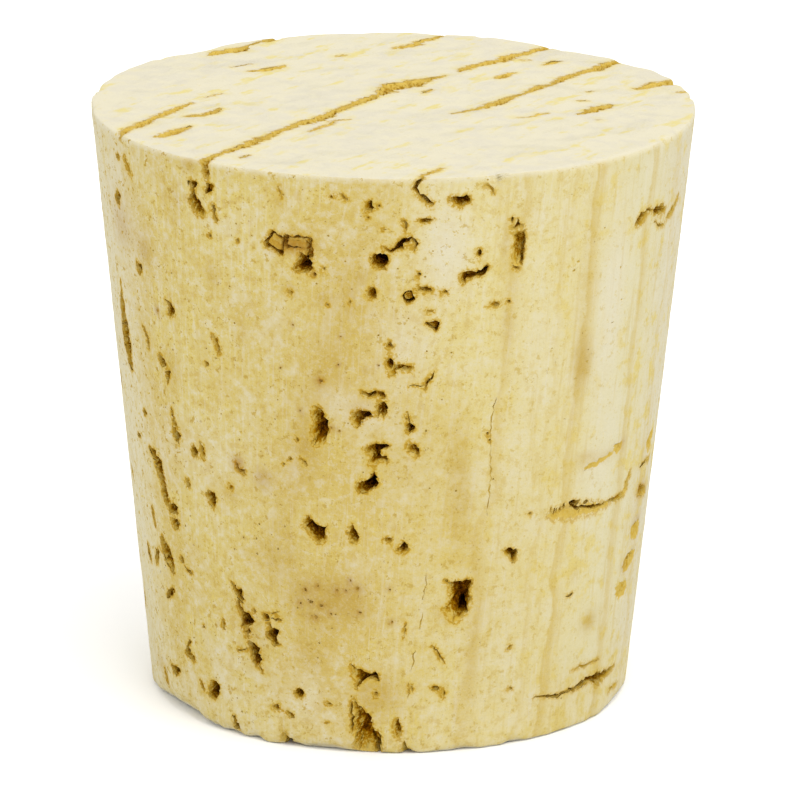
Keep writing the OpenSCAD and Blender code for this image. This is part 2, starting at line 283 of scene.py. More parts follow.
# Front left, lower third
LOWER_LEFT = (
    Hollow(-59, 10.8, ((-0.5, 1.2), (-0.2, 0.8), (0.3, 0.5), (0.6, -0.1), (0.7, -1.1), (0.3, -1.2),
           (-0.4, -0.6), (-0.8, 0.1), (-0.9, 0.6)), 1.8),
    Hollow(-64.5, 10.1, ((0, 0.6), (0.3, 0.3), (0.1, -0.3), (-0.3, -0.5), (-0.3, 0)), 1.2),
    Hollow(-59, 8.2, ((0.4, 0.5), (0.6, 0.2), (-0.3, -0.5), (-0.7, -0.6), (-0.4, 0)), 0.5, 0.3),
    Hollow(-35.5, 9.8, ((-0.5, 0.7), (-0.1, 0.3), (0.3, 0.2), (0.4, -0.3), (0.3, -0.6), (-0.1, -0.4)), 1.8),
    Hollow(-34, 8, ((-0.3, 0.5), (0.1, 0.6), (0.5, 0.4), (0.6, 0), (0.2, -0.5), (-0.4, -0.3)), 2.4),
    Hollow(-32, 5.9, ((-0.5, 0.7), (-0.2, 0.8), (0.1, 0.7), (0.4, 0.5), (0.4, 0.1), (0.5, -0.3), (0.3, -0.8),
           (-0.1, -0.8), (-0.2, -0.3), (-0.4, 0.1)), 2.4),
    Hollow(-27, 7.2, ((-0.5, 0.1), (-0.2, 0.6), (0.4, 0.7), (0.3, 0.1), (0.4, -0.5), (-0.1, -0.5),
           (-0.3, -0.1)), 2),
    Hollow(-45, 2.6, ((-0.3, 0.7), (0.2, 0.7), (0.5, 0.5), (0.4, -0.1), (0.1, -0.5), (-0.3, -0.7),
           (-0.6, -0.4), (-0.5, 0.1)), 2.2),
    Hollow(-60.5, 2.8, ((-0.6, 0.3), (0.2, 0.4), (0.7, 0.1), (0.1, -0.3), (-0.4, -0.2)), 1.8),
    Hollow(-53, 4.9, ((0.1, 0.7), (0.3, 0.6), (0, 0), (0.4, -0.4), (0.3, -0.8), (-0.6, -0.5), (-0.3, 0)),
           1.7),
    Hollow(-38.5, 0.8, ((-0.4, 0.5), (-0.1, 0.5), (0, 0), (0.2, 0), (0.3, -0.5), (-0.4, -0.6), (-0.3, 0.1)),
           1.5),
    Pit(-53, 10.9, 0.5, 0.6, 0.8, -30), Pit(-40.5, 7.4, 0.35, 0.8, 0.4), Pit(-31.5, 8.8, 0.4, 0.4, 0.3),
    Pit(-28.5, 8.5, 0.55, 0.6, 1), Pit(-47, 6.8, 0.25, 0.3, 0.3), Pit(-27, 2.5, 0.65, 0.5, 0.5),
    Pit(-23.5, 2.2, 0.75, 0.35, 0.7, -35), Pit(-21, 3.7, 0.7, 0.7, 1.2), Pit(-14, 3.2, 0.6, 0.3, 0.3),
    Pit(-14.5, 1.9, 0.5, 0.12, 0.2),
    Crack(((-70.5, 10.7, 0.25), (-70, 10, 0.4), (-69, 9.4, 0.3)), 0.4),
    Crack(((-52.5, 10.5, 0.13), (-51, 10.3, 0.12), (-49.5, 10.1, 0.25)), 0.4),
    Crack(((-35.5, 9.4, 0.3), (-35.5, 8.9, 0.35), (-34.5, 8.3, 0.35)), 0.6),
    Crack(((-33.5, 7.6, 0.4), (-34, 6.8, 0.3)), 0.5),
    Crack(((-31, 5.2, 0.3), (-30.5, 4.9, 0.2), (-30, 4.6, 0.1)), 0.5),
    Crack(((-37, 5.9, 0.25), (-35.5, 5.9, 0.12), (-34, 6.2, 0.1)), 0.4),
    Crack(((-27.5, 8.8, 0.1), (-25, 9, 0.1)), 0.2),
    Crack(((-27.5, 8.5, 0.12), (-26, 8.5, 0.2), (-24.5, 8.5, 0.15)), 0.4),
    Crack(((-28, 8.2, 0.25), (-27.5, 7.9, 0.2), (-27, 7.6, 0.3)), 0.6),
    Crack(((-50, 3, 0.2), (-49.5, 2.7, 0.35), (-48.5, 2.3, 0.15)), 0.5),
    Crack(((-67, 2.5, 0.2), (-66.5, 1.9, 0.35), (-66, 1.3, 0.2)), 0.4),
)
# Front, upper third
UPPER_FRONT = (
    Hollow(-22.5, 33.5, ((-0.8, 0.1), (-0.5, 0.3), (-0.2, 0.8), (0.2, 0.5), (0.6, 0.2), (0.5, -0.2),
           (0.5, -0.9), (0.1, -0.8), (-0.2, -0.5), (-0.7, -0.4)), 0.5, 0.75),
    Hollow(-18, 33.5, ((-1.1, 0), (-0.8, 0.6), (-0.4, 0.5), (0.2, 0.6), (1, 0.5), (0.9, 0), (1, -0.8),
           (0.6, -0.9), (0.4, -0.4), (-0.2, -0.3), (-0.8, -0.4)), 0.5, 0.75),
    Crack(((-16.4, 33.9, 0.15), (-16, 33.2, 0.35), (-16.2, 32.7, 0.4)), 0.6),
    Crack(((-20.8, 33.9, 0.12), (-20.6, 33.4, 0.3), (-20.9, 33, 0.2)), 0.5),
    Hollow(-17.3, 32.3, ((-0.2, 0.7), (0.1, 0.6), (0.7, 0), (0.6, -0.5), (-0.1, -0.7), (-0.6, -0.5),
           (-0.3, 0.1)), 1.7),
    Pit(-15, 31.6, 0.4, 0.4, 0.4), Pit(-13, 32, 0.25, 0.35, 0.3), Pit(-11.5, 36.7, 0.35, 0.4, 0.3),
    Pit(-20, 30.3, 0.6, 0.35, 0.2), Pit(-12.5, 29.7, 0.4, 0.3, 0.2), Pit(-8, 29.9, 0.3, 0.5, 0.2),
    Hollow(-4, 36.2, ((-0.2, 0.3), (0.1, 0.3), (0.1, 0), (0.3, -0.2), (-0.3, -0.4), (-0.4, 0)), 0.9),
    Pit(-2.5, 36.2, 0.2, 0.2, 0.4), Pit(-4.5, 35.4, 0.3, 0.25, 0.2), Pit(-1.5, 34.7, 0.4, 0.25, 0.15),
    Hollow(6, 35.2, ((-0.6, 0), (-0.2, 0.2), (0.6, 0.2), (0.3, -0.1), (-0.3, -0.2)), 0.5),
    Hollow(-2.5, 32.6, ((-0.5, 0.4), (-0.1, 0.6), (0.4, 0.5), (0.6, 0.2), (0.5, -0.3), (0.2, -0.6),
           (-0.3, -0.4), (-0.5, 0)), 2),
    Hollow(-4, 30.6, ((-0.3, 0.2), (-0.1, 0.4), (0.3, 0.4), (0.4, 0.1), (0.3, -0.4), (-0.1, -0.5),
           (-0.3, -0.2)), 0.7),
    Hollow(3, 30.4, ((-0.5, 0.1), (-0.2, 0.4), (0.1, 0.4), (0.3, 0.1), (0.3, -0.3), (0, -0.5), (-0.4, -0.3)),
           0.8, 0.6),
    Hollow(6, 30.8, ((-0.4, 0.3), (-0.1, 0.2), (0.3, 0.2), (0.6, -0.1), (0.4, -0.3), (-0.1, -0.2),
           (-0.5, -0.1)), 0.5),
    Pit(5, 31.8, 0.35, 0.4, 0.5), Pit(10, 30.6, 0.6, 0.35, 0.3), Pit(16.5, 33, 0.45, 0.65, 0.6),
    Hollow(12.5, 36.4, ((-0.7, 0.3), (0, 0.4), (0.7, 0.3), (0.8, -0.1), (0.1, -0.4), (-0.3, -0.2), (-0.6, 0)),
            1),
    Hollow(24.5, 33.1, ((-0.45, 1.1), (0, 1.2), (0.4, 1.1), (0.4, 0), (0.3, -1.2), (0, -1.3), (-0.35, -1.2),
           (-0.4, 0)), 0.6),
    Crack(((25.4, 34.3, 0.2), (25.5, 33.2, 0.3), (25.2, 31.9, 0.3)), 1.5),
    Crack(((23, 34.5, 0.3), (24.2, 34.6, 0.35), (25.4, 34.5, 0.3)), 0.9),
    Pit(22.8, 35, 0.25, 0.4, 0.6),
    Crack(((23.5, 31.9, 0.25), (25, 31.8, 0.35)), 0.6),
    Pit(20, 29.6, 0.9, 0.45, 0.3), Pit(23, 29.7, 0.4, 0.4, 0.35, 20),
    Crack(((-21.5, 37.2, 0.15), (-21, 36.3, 0.2)), 0.15),
    Crack(((-10, 37, 0.15), (-9.5, 36.8, 0.25), (-8, 36.5, 0.15)), 0.3),
    Crack(((1.5, 35.3, 0.16), (2.5, 35.1, 0.2), (2.5, 34.6, 0.2)), 0.5),
    Crack(((-2, 33.6, 0.15), (0, 33.3, 0.3), (1, 33.7, 0.55), (2.5, 34, 0.4), (3.5, 34.1, 0.3),
          (4.5, 33.8, 0.3), (4, 33.3, 0.2)), 1.2),
    Crack(((7, 38.4, 0.2), (5.5, 38.1, 0.25), (4, 37.5, 0.4), (4, 37.3, 0.35), (5.5, 36.8, 0.32),
          (6.5, 36.5, 0.43), (7.5, 36.3, 0.3)), 0.9),
    Crack(((18.5, 32.2, 0.4), (17.5, 31.8, 0.5), (16, 31.6, 0.5), (14.5, 31.6, 0.6), (13, 31.3, 0.7)), 0.8),
    Crack(((24, 35.1, 0.1), (24, 34.5, 0.2)), 0.3),
    Crack(((16.7, 37.3, 0.15), (17.6, 37.4, 0.3), (18.5, 37.1, 0.2), (19, 36.7, 0.1)), 0.2),
)
# Front, middle
MIDDLE_FRONT = (
    Hollow(7.5, 28.4, ((-0.5, 0.3), (0, 0.4), (0.5, 0.3), (0.4, -0.2), (0.3, -0.4), (-0.1, -0.1)), 0.7, 0.4),
    Hollow(4, 21.8, ((-0.2, 0.4), (0.1, 0.3), (0.3, 0), (0.1, -0.3), (0, -0.5), (-0.3, -0.2)), 1.1),
    Hollow(4.5, 20.4, ((-0.5, 0.2), (-0.1, 0.4), (0.3, 0.2), (0.4, -0.3), (0.3, -0.6), (0, -0.3),
           (-0.3, -0.1)), 0.6),
    Crack(((3.2, 23, 0.08), (3.5, 22.4, 0.16), (3.9, 21.9, 0.3)), 0.6),
    Pit(-0.5, 27.2, 0.65, 0.55, 0.45),
    Hollow(1.5, 25.8, ((-0.9, 0.7), (-0.6, 0.5), (-0.4, 0.2), (0.4, 0.2), (0.9, 0.1), (0.8, -0.3),
           (0.2, -0.3), (-0.2, -0.2), (-0.4, -0.6), (-0.8, -0.6), (-0.7, -0.1)), 0.45),
    Pit(-0.4, 26, 0.5, 0.9, 0.9),
    Hollow(-1.5, 23.1, ((-0.4, 0.2), (0, 0.4), (0.3, 0), (0.1, -0.5), (-0.4, -0.5)), 1.1),
    Hollow(-6, 22.4, ((-0.4, 0.6), (0.1, 0.6), (0.6, 0.5), (0.6, 0.2), (0.2, 0), (0, -0.4), (-0.2, -0.7),
           (-0.5, -0.4), (-0.7, 0)), 1),
    Hollow(-14.5, 21.7, ((-0.4, 1.4), (0.1, 1.3), (0.4, 0.7), (0.6, -0.1), (0.4, -0.9), (-0.1, -1.4),
           (-0.5, -1.3), (-0.6, -0.4), (-0.4, 0.2), (-0.6, 0.8)), 1.2),
    Hollow(-3, 20.1, ((-0.9, 0.4), (-0.4, 0.5), (0, 0.7), (0.5, 0.8), (0.9, 0.6), (0.7, 0.4), (0.3, 0.3),
           (0.3, 0), (0.8, -0.3), (0.7, -0.7), (0.2, -0.5), (-0.2, -0.8), (-0.5, -0.7), (-0.4, -0.1),
           (-0.6, 0.2)), 1.2),
    Hollow(-5, 18.2, ((0.4, 0.8), (0.6, 0.6), (0.7, 0), (0.5, -0.4), (0, -0.7), (-0.5, -0.8), (-0.7, -0.4),
           (-0.6, 0), (-0.2, 0.1), (0.2, 0.3)), 2),
    Pit(-19.5, 20.7, 0.3, 0.5, 0.4), Pit(-21, 19.4, 0.3, 0.3, 0.4), Pit(-22.5, 19, 0.2, 0.25, 0.4),
    Pit(-14, 24.7, 0.35, 0.3, 0.2), Pit(20, 21.2, 0.3, 0.3, 0.25), Pit(20.5, 20.7, 0.25, 0.25, 0.25),
    Crack(((6.5, 29.3, 0.2), (7, 29.4, 0.25), (8.5, 29.4, 0.15)), 0.3),
    Crack(((8.5, 25.5, 0.1), (8, 25.1, 0.2), (7, 24.7, 0.24), (7, 24.2, 0.1)), 0.8),
    Crack(((6.5, 24.6, 0.1), (5, 24.6, 0.1), (3.5, 24.6, 0.08)), 0.3),
    Crack(((2.5, 22.6, 0.06), (3.5, 22.3, 0.14)), 0.4),
    Crack(((-6, 24.1, 0.35), (-4.5, 24, 0.25), (-3, 24.1, 0.4), (-2, 24, 0.5), (-1.5, 23.7, 0.45)), 0.5),
    Crack(((-2.5, 23.3, 0.4), (-2.5, 22.9, 0.3), (-2.5, 22.5, 0.12)), 1),
    Crack(((-19, 19.5, 0.12), (-18, 19.2, 0.27), (-17.5, 19, 0.18)), 0.5),
)
# Front, lower third, with the notch in the bottom rim
LOWER_FRONT = (
    Hollow(-16, 14.8, ((-0.5, 1), (-0.1, 0.6), (0.4, 0.3), (0.8, 0.4), (0.6, 0), (0.8, -0.6), (0.2, -0.9),
           (-0.3, -0.5), (-0.7, 0), (-0.8, 0.4)), 1.4),
    Hollow(-7.5, 14.7, ((-0.2, 0.7), (0, 0.4), (0.2, 0.1), (0.3, -0.3), (0, -0.7), (-0.2, -0.6), (-0.4, -0.2),
            (-0.4, 0.3)), 1.2),
    Pit(-0.5, 14.4, 0.75, 0.4, 0.3), Pit(44, 9.3, 0.7, 0.22, 0.6, 12), Pit(31, 15.4, 0.35, 0.35, 0.2),
    Hollow(2.5, 13.9, ((0.2, 0.4), (0.5, -0.1), (0.3, -0.4), (-0.2, -0.4), (-0.4, -0.1), (-0.1, 0.1)), 0.9),
    Hollow(15, 10.2, ((-1, 1.5), (-0.4, 1.4), (0.2, 1.3), (0.7, 1.5), (1, 1.2), (0.8, 0.6), (0.9, 0),
           (0.8, -0.6), (0.4, -1.2), (-0.2, -1.6), (-0.7, -1), (-1, -0.6), (-0.6, -0.1), (-0.6, 0.6),
           (-0.7, 1.2)), 1.1),
    Pit(15.4, 9.7, 1, 1.3, 2.4),
    Hollow(27, 12.8, ((-0.6, 0.4), (-0.2, 0.7), (0, 0.5), (0.5, 0.5), (0.5, 0), (0.2, -0.6), (-0.1, -0.1)),
           0.9),
    Hollow(-5.5, 5.1, ((-1, 1), (-0.6, 0.7), (0.1, 0.4), (0.4, 0.2), (0.7, 0.5), (0.9, 0.1), (1, -0.2),
           (0.6, -0.1), (0.2, 0), (-0.2, -0.3), (-0.6, -0.9), (-0.6, -0.2), (-0.9, 0.1), (-0.8, 0.5)), 1),
    Hollow(-5.5, 2.1, ((-0.9, 1.8), (-0.5, 1.3), (-0.1, 0.8), (0.3, 0.5), (0.5, 0), (0.5, -0.5), (1, -0.9),
           (1.1, -1.5), (1.1, -2.9), (-0.8, -2.9), (-0.8, -1.5), (-0.9, -0.7), (-0.9, 0.1), (-0.8, 0.8)),
           0.8),
    Crack(((-7, 3.2, 0.3), (-5.4, 2.5, 0.45), (-4.2, 1.6, 0.5), (-3.2, 0.6, 0.5), (-2.6, -0.2, 0.5)), 1.7),
    Crack(((-8.4, 3.6, 0.15), (-8.6, 2.4, 0.25), (-8.6, 1.3, 0.2)), 0.8),
    Pit(-3, 4, 0.4, 0.6, 0.3), Pit(2, 1.7, 0.55, 1.5, 0.5), Pit(5, 4.4, 0.35, 0.7, 0.2),
    Pit(10.5, 4.4, 0.7, 0.35, 0.5), Pit(12.5, 4, 0.3, 0.8, 0.2), Pit(-24, 0.4, 0.5, 0.45, 0.4),
    Pit(28, 6.6, 0.6, 0.3, 0.25, 30), Pit(29, 3.8, 0.5, 0.35, 0.2),
    Crack(((3.5, 9, 0.1), (3.5, 8.4, 0.14), (3, 7.8, 0.1)), 0.12),
    Crack(((9.5, 7.3, 0.1), (11, 6.9, 0.14), (11.5, 6.5, 0.14), (12.5, 6.1, 0.08)), 0.4),
)
# Right flank, where the wall grazes the pores
RIGHT_FLANK = (
    Hollow(43, 15.5, ((-0.4, 0.2), (0, 0.3), (0.5, 0.2), (0.4, 0), (0.2, -0.2), (-0.3, -0.2)), 1.6),
    Pit(46.5, 15.4, 0.5, 0.3, 1.4), Pit(49.5, 14.8, 0.4, 0.3, 1.2), Pit(40, 15.5, 0.2, 0.5, 0.8),
    Pit(38, 15.3, 0.15, 0.5, 0.5),
    Hollow(73, 14.1, ((-1.4, -0.1), (-1.2, 0.6), (-0.6, 0.7), (1, -0.1), (1.2, -0.6), (-0.3, -0.4)), 0.3),
    Crack(((35.5, 15.1, 0.4), (37.5, 15.1, 0.8), (40, 15, 1), (43.5, 14.9, 1.1), (47, 14.8, 0.9),
          (50, 14.7, 0.8), (53, 14.7, 0.5), (55, 14.8, 0.3)), 0.1),
    Crack(((41.5, 15.4, 0.15), (43.5, 15.2, 0.3), (46, 15.1, 0.2), (48.5, 14.9, 0.35), (51.5, 14.8, 0.3),
          (54.5, 14.9, 0.2)), 0.7),
    Crack(((36.4, 15.7, 0.15), (36.7, 15.1, 0.2)), 0.3),
    Crack(((37.4, 15.6, 0.15), (37.6, 14.9, 0.2)), 0.35),
    Crack(((39, 15.6, 0.2), (39, 14.9, 0.25)), 0.5),
    Crack(((48.4, 15.1, 0.2), (48.8, 14.5, 0.2)), 0.4),
    Crack(((45, 15.2, 0.2), (44.7, 14.6, 0.2)), 0.35),
    Crack(((54.5, 14.9, 0.25), (57, 14.8, 0.35), (60.5, 14.9, 0.5), (62, 15.3, 0.6), (63, 15.9, 0.5),
          (63.5, 16.3, 0.3)), 0.3),
    Crack(((35.5, 2.9, 0.12), (38.5, 2.8, 0.15), (41.5, 2.6, 0.3), (44, 2.6, 0.17), (47, 2.7, 0.25),
          (49.5, 2.7, 0.4), (52.5, 2.8, 0.5), (55.5, 2.9, 0.5), (59, 2.7, 0.9), (63, 2.7, 0.5),
          (66.5, 2.8, 0.35), (68, 2.8, 0.13)), 0.9),
    Crack(((47, 4, 0.15), (51, 4.1, 0.2), (55, 4, 0.2), (59, 4, 0.16)), 0.12),
    Crack(((65, 1.1, 0.35), (67.5, 1.3, 0.4), (72, 1.2, 0.35)), 0.15),
    Crack(((54.5, 32.9, 0.45), (55, 33.1, 0.7), (57, 33.4, 0.8), (58, 33.7, 0.3), (60.5, 33.6, 0.2)), 0.7),
    Crack(((60.5, 33.4, 0.4), (62.5, 33.4, 0.7), (64.5, 33.3, 0.6), (66.5, 33.1, 0.3)), 1),
    Crack(((67.5, 32.5, 0.3), (69.5, 32.6, 0.6), (72, 33, 0.6), (74, 33.5, 0.3)), 0.7),
    Crack(((61.5, 32.7, 0.16), (64, 32.3, 0.25), (67, 32.1, 0.2)), 0.2),
    Crack(((69, 16, 0.25), (72, 16.1, 0.3), (76.5, 16, 0.35)), 0.4),
)
# Thin lines and shallow dishes in the wall
SHALLOW = (
    Crack(((8, 12.4, 0.06), (7.7, 11.2, 0.12), (7.5, 10.4, 0.06)), 0.08),
    Crack(((7.2, 9.6, 0.06), (6.9, 8.8, 0.12), (6.4, 8.2, 0.06)), 0.08),
    Crack(((5.9, 7.2, 0.06), (5.3, 6.3, 0.12), (5, 5.6, 0.06)), 0.08),
    Crack(((4.7, 4.9, 0.06), (4.5, 4.3, 0.12), (4.3, 3.6, 0.06)), 0.08),
    Crack(((21.6, 23.6, 0.05), (20.7, 22, 0.14), (20.8, 20.2, 0.1), (21.2, 18.4, 0.14), (21, 16.6, 0.1),
          (20.8, 15.4, 0.05)), 0.055),
    Crack(((44.5, 17.7, 0.3), (47.5, 17.7, 0.5), (50, 17.8, 0.6), (53.5, 18, 0.7), (56, 18.2, 0.6)), 0.09),
    Hollow(56.5, 18.2, ((-0.9, 0.3), (0, 0.5), (0.7, 0.5), (0.8, 0), (0.4, -0.5), (-0.2, -0.4), (-0.8, -0.2)),
            0.12),
    Hollow(71, 11.5, ((-1.3, 0.3), (-1.2, 0.7), (0, 0.8), (1.2, 0.7), (1.4, 0), (1.2, -0.8), (-0.2, -0.7),
           (-1.2, -0.4)), 0.14),
    Hollow(69, 9.7, ((-1.5, -0.4), (-1.2, 0.4), (-0.3, 0.7), (1.2, 0.7), (1.6, 0.1), (1, -0.5), (-0.4, -0.8)),
            0.2),
    Hollow(65.6, 8, ((-1.4, -0.5), (-1.2, 0.6), (0, 0.8), (1.4, 0.6), (1.5, -0.2), (0.8, -0.7), (-0.6, -0.7)),
            0.14),
    Hollow(74.5, 17, ((-1, 0.4), (0.2, 1), (1.4, 1.2), (1.6, 0), (1, -0.9), (-0.4, -0.7)), 0.12),
)
# Small dots in the wall: bearing, height, width and height of each
DARK_DOTS = (
    (-18.5, 10.8, 0.35, 0.35), (-16, 11.1, 0.35, 0.35), (-11.5, 10.9, 0.3, 0.35), (-9.5, 10.9, 0.25, 0.25),
    (-7, 11.1, 0.4, 0.35), (-8.5, 11.6, 0.25, 0.25), (-20, 9.8, 0.25, 0.25), (-17.5, 10, 0.35, 0.25),
    (-15, 9.8, 0.4, 0.25), (-16.5, 9, 0.4, 0.35), (-13, 9.3, 0.2, 0.2), (-6.5, 9.5, 0.45, 0.2),
    (0, 11.1, 0.2, 0.2), (0.5, 8.9, 0.3, 0.35), (-10, 27.7, 0.2, 0.2), (-10.5, 25.8, 0.2, 0.2),
    (-2.5, 25.9, 0.2, 0.2), (-19.5, 28.2, 0.2, 0.25), (-22.5, 25.3, 0.2, 0.2), (-12, 21.7, 0.25, 0.25),
    (-10.5, 21.5, 0.2, 0.2), (-18.5, 22.6, 0.2, 0.25), (-15, 31.6, 0.25, 0.25), (-54, 27.2, 0.4, 0.5),
)
# The same of the shallower, pale dots
PALE_DOTS = (
    (43, 25.6, 0.35, 0.25), (43, 24.8, 0.35, 0.35), (44, 25.3, 0.25, 0.2), (40, 23.9, 0.5, 0.35),
    (38, 21.4, 0.25, 0.2), (41, 26.8, 0.25, 0.2), (49.5, 27, 0.3, 0.2), (52, 28.3, 0.4, 0.25),
    (34.5, 37.7, 0.3, 0.35), (35.5, 36.1, 0.2, 0.25), (44.5, 33.4, 0.35, 0.4), (42, 32.7, 0.25, 0.25),
    (38.5, 31.6, 0.5, 0.3), (37.5, 31.1, 0.4, 0.25), (50.5, 30.5, 0.35, 0.35), (14, 16.3, 0.3, 0.35),
    (44.5, 2.3, 0.25, 0.2), (33.5, 26.2, 0.3, 0.2), (34.5, 25.3, 0.2, 0.2),
)
# Back, where the same pores come out of the wall again
BACK = (
    Pit(102, 34.2, 0.9, 1.6, 1.2, 12), Pit(114, 31.9, 1.4, 0.9, 1.2), Pit(127, 35.3, 0.7, 1.2, 1, -14),
    Pit(142, 32.7, 1.2, 1.8, 1.4, 10), Pit(159, 34.6, 0.8, 0.8, 1), Pit(173, 31.2, 0.7, 2.2, 1.2, -8),
    Pit(188, 33.8, 0.9, 1.1, 1), Pit(107, 26.6, 0.7, 2.8, 1.2, 6), Pit(123, 28.1, 1.1, 1, 1.4),
    Pit(136, 25.1, 0.8, 0.9, 1), Pit(150, 27.4, 1.7, 1.2, 1.4), Pit(167, 24.3, 0.9, 1.4, 1.2, 15),
    Pit(182, 26.6, 0.6, 0.8, 0.8), Pit(116, 20.5, 1.3, 1.9, 1.4, -12), Pit(132, 18.6, 0.7, 1, 1),
    Pit(144, 21.3, 0.9, 2.6, 1.4, 8), Pit(161, 17.9, 1.5, 1.1, 1.2), Pit(178, 20.1, 0.8, 1.8, 1.2, -16),
    Pit(104, 13.7, 0.8, 1, 1), Pit(121, 12.5, 1, 2.2, 1.2, 14), Pit(139, 14.1, 1.6, 1.7, 1.6),
    Pit(154, 11.4, 0.7, 0.8, 0.8), Pit(170, 13.3, 1.1, 1.3, 1.2), Pit(186, 10.6, 0.7, 2, 1, 10),
    Pit(112, 6.8, 1.2, 0.9, 1.2), Pit(128, 5.3, 0.8, 1.5, 1.2, -10), Pit(147, 6.5, 1.3, 2, 1.4, 12),
    Pit(164, 4.6, 0.7, 0.8, 0.8), Pit(180, 6.1, 1.4, 1, 1.2), Pit(135, 1.1, 1.2, 1.8, 1.2),
    Pit(109, 30.4, 0.4, 0.5, 0.4), Pit(119, 24.2, 0.5, 0.4, 0.3, 0, 0.5),
    Pit(130, 32.5, 0.9, 0.8, 0.5, 0, 0.7), Pit(138, 29.8, 0.4, 0.8, 0.6), Pit(152, 30.9, 0.5, 0.4, 0.3),
    Pit(163, 28.4, 0.8, 0.9, 0.4, 0, 0.6), Pit(176, 34.9, 0.5, 0.5, 0.4), Pit(126, 22.4, 0.4, 0.9, 0.5),
    Pit(155, 22.9, 0.8, 0.7, 0.4, 0, 0.7), Pit(171, 17.2, 0.4, 0.5, 0.5), Pit(110, 17.3, 0.6, 0.5, 0.3),
    Pit(149, 16.2, 0.5, 0.4, 0.5), Pit(130, 9.6, 0.9, 0.8, 0.4, 0, 0.6), Pit(159, 8.4, 0.4, 0.6, 0.4),
    Pit(175, 9.4, 0.5, 0.4, 0.3), Pit(118, 3.2, 0.4, 0.5, 0.4), Pit(141, 3.4, 0.5, 0.4, 0.5),
    Pit(190, 3.3, 0.5, 0.9, 0.5),
    Crack(((121, 37.2, 0.15), (122, 36.1, 0.3), (124, 35.6, 0.2)), 0.5),
    Crack(((146, 31.6, 0.15), (148, 30.4, 0.35), (147, 29.2, 0.25), (149, 28.4, 0.4)), 0.8),
    Crack(((111, 23.4, 0.2), (113, 22.4, 0.35), (114, 21.4, 0.4)), 0.9),
    Crack(((165, 15.9, 0.2), (167, 15, 0.4), (169, 14, 0.5)), 0.9),
    Crack(((133, 12.2, 0.4), (135, 12.9, 0.5), (137, 13.6, 0.5)), 1),
    Crack(((152, 4.2, 0.15), (151, 5.2, 0.3), (149, 6, 0.4)), 0.8),
)
# Far left flank, where the wall grazes the pores again
FAR_LEFT = (
    Crack(((-110, 34.3, 0.4), (-107, 34.6, 0.6), (-103, 34.7, 0.6), (-99, 35, 0.3)), 0.7),
    Crack(((-143, 31.2, 0.3), (-137, 31.4, 0.6), (-131, 31.5, 0.8), (-126, 31.8, 0.7), (-121, 31.9, 0.3)),
          0.8),
    Crack(((-119, 26.2, 0.4), (-113, 26.5, 0.8), (-108, 26.8, 0.8), (-102, 27.1, 0.4)), 0.8),
    Crack(((-154, 23.8, 0.3), (-149, 23.6, 0.5), (-143, 23.5, 0.5), (-139, 23.3, 0.3)), 0.7),
    Crack(((-135, 19.5, 0.3), (-128, 19.7, 0.7), (-121, 19.8, 0.8), (-115, 20, 0.7), (-109, 20, 0.4)), 0.9),
    Crack(((-148, 14.1, 0.3), (-142, 14.3, 0.6), (-136, 14.5, 0.7), (-129, 14.8, 0.4)), 0.7),
    Crack(((-115, 11.1, 0.5), (-109, 11.4, 0.8), (-103, 11.7, 0.5)), 0.8),
    Crack(((-141, 6.2, 0.3), (-134, 6.4, 0.6), (-127, 6.5, 0.7), (-121, 6.6, 0.6), (-115, 6.7, 0.3)), 0.8),
    Crack(((-158, 3.2, 0.3), (-152, 3.4, 0.6), (-147, 3.6, 0.4)), 0.6),
    Pit(-96, 30.4, 0.7, 1, 0.9, -10), Pit(-88, 24.6, 0.8, 1.3, 1, -8), Pit(-95, 22.8, 0.5, 0.5, 0.5),
    Pit(-84, 31.8, 0.7, 0.9, 0.8), Pit(-91, 16.3, 0.9, 1.1, 1.1), Pit(-82, 20.4, 0.6, 1.2, 0.9, -12),
    Pit(-98, 14.2, 0.5, 0.6, 0.6), Pit(-86, 10.7, 0.8, 1.2, 0.9, -10), Pit(-94, 5.1, 0.9, 0.8, 1),
    Pit(-81, 5.9, 0.7, 1, 0.8), Pit(-88, 2.1, 0.6, 0.9, 0.7), Pit(-79, 14.6, 0.5, 0.8, 0.6),
    Pit(-162, 28.5, 0.8, 0.5, 0.6), Pit(-165, 18.2, 0.9, 0.6, 0.7), Pit(-160, 9.8, 0.7, 0.5, 0.6),
)
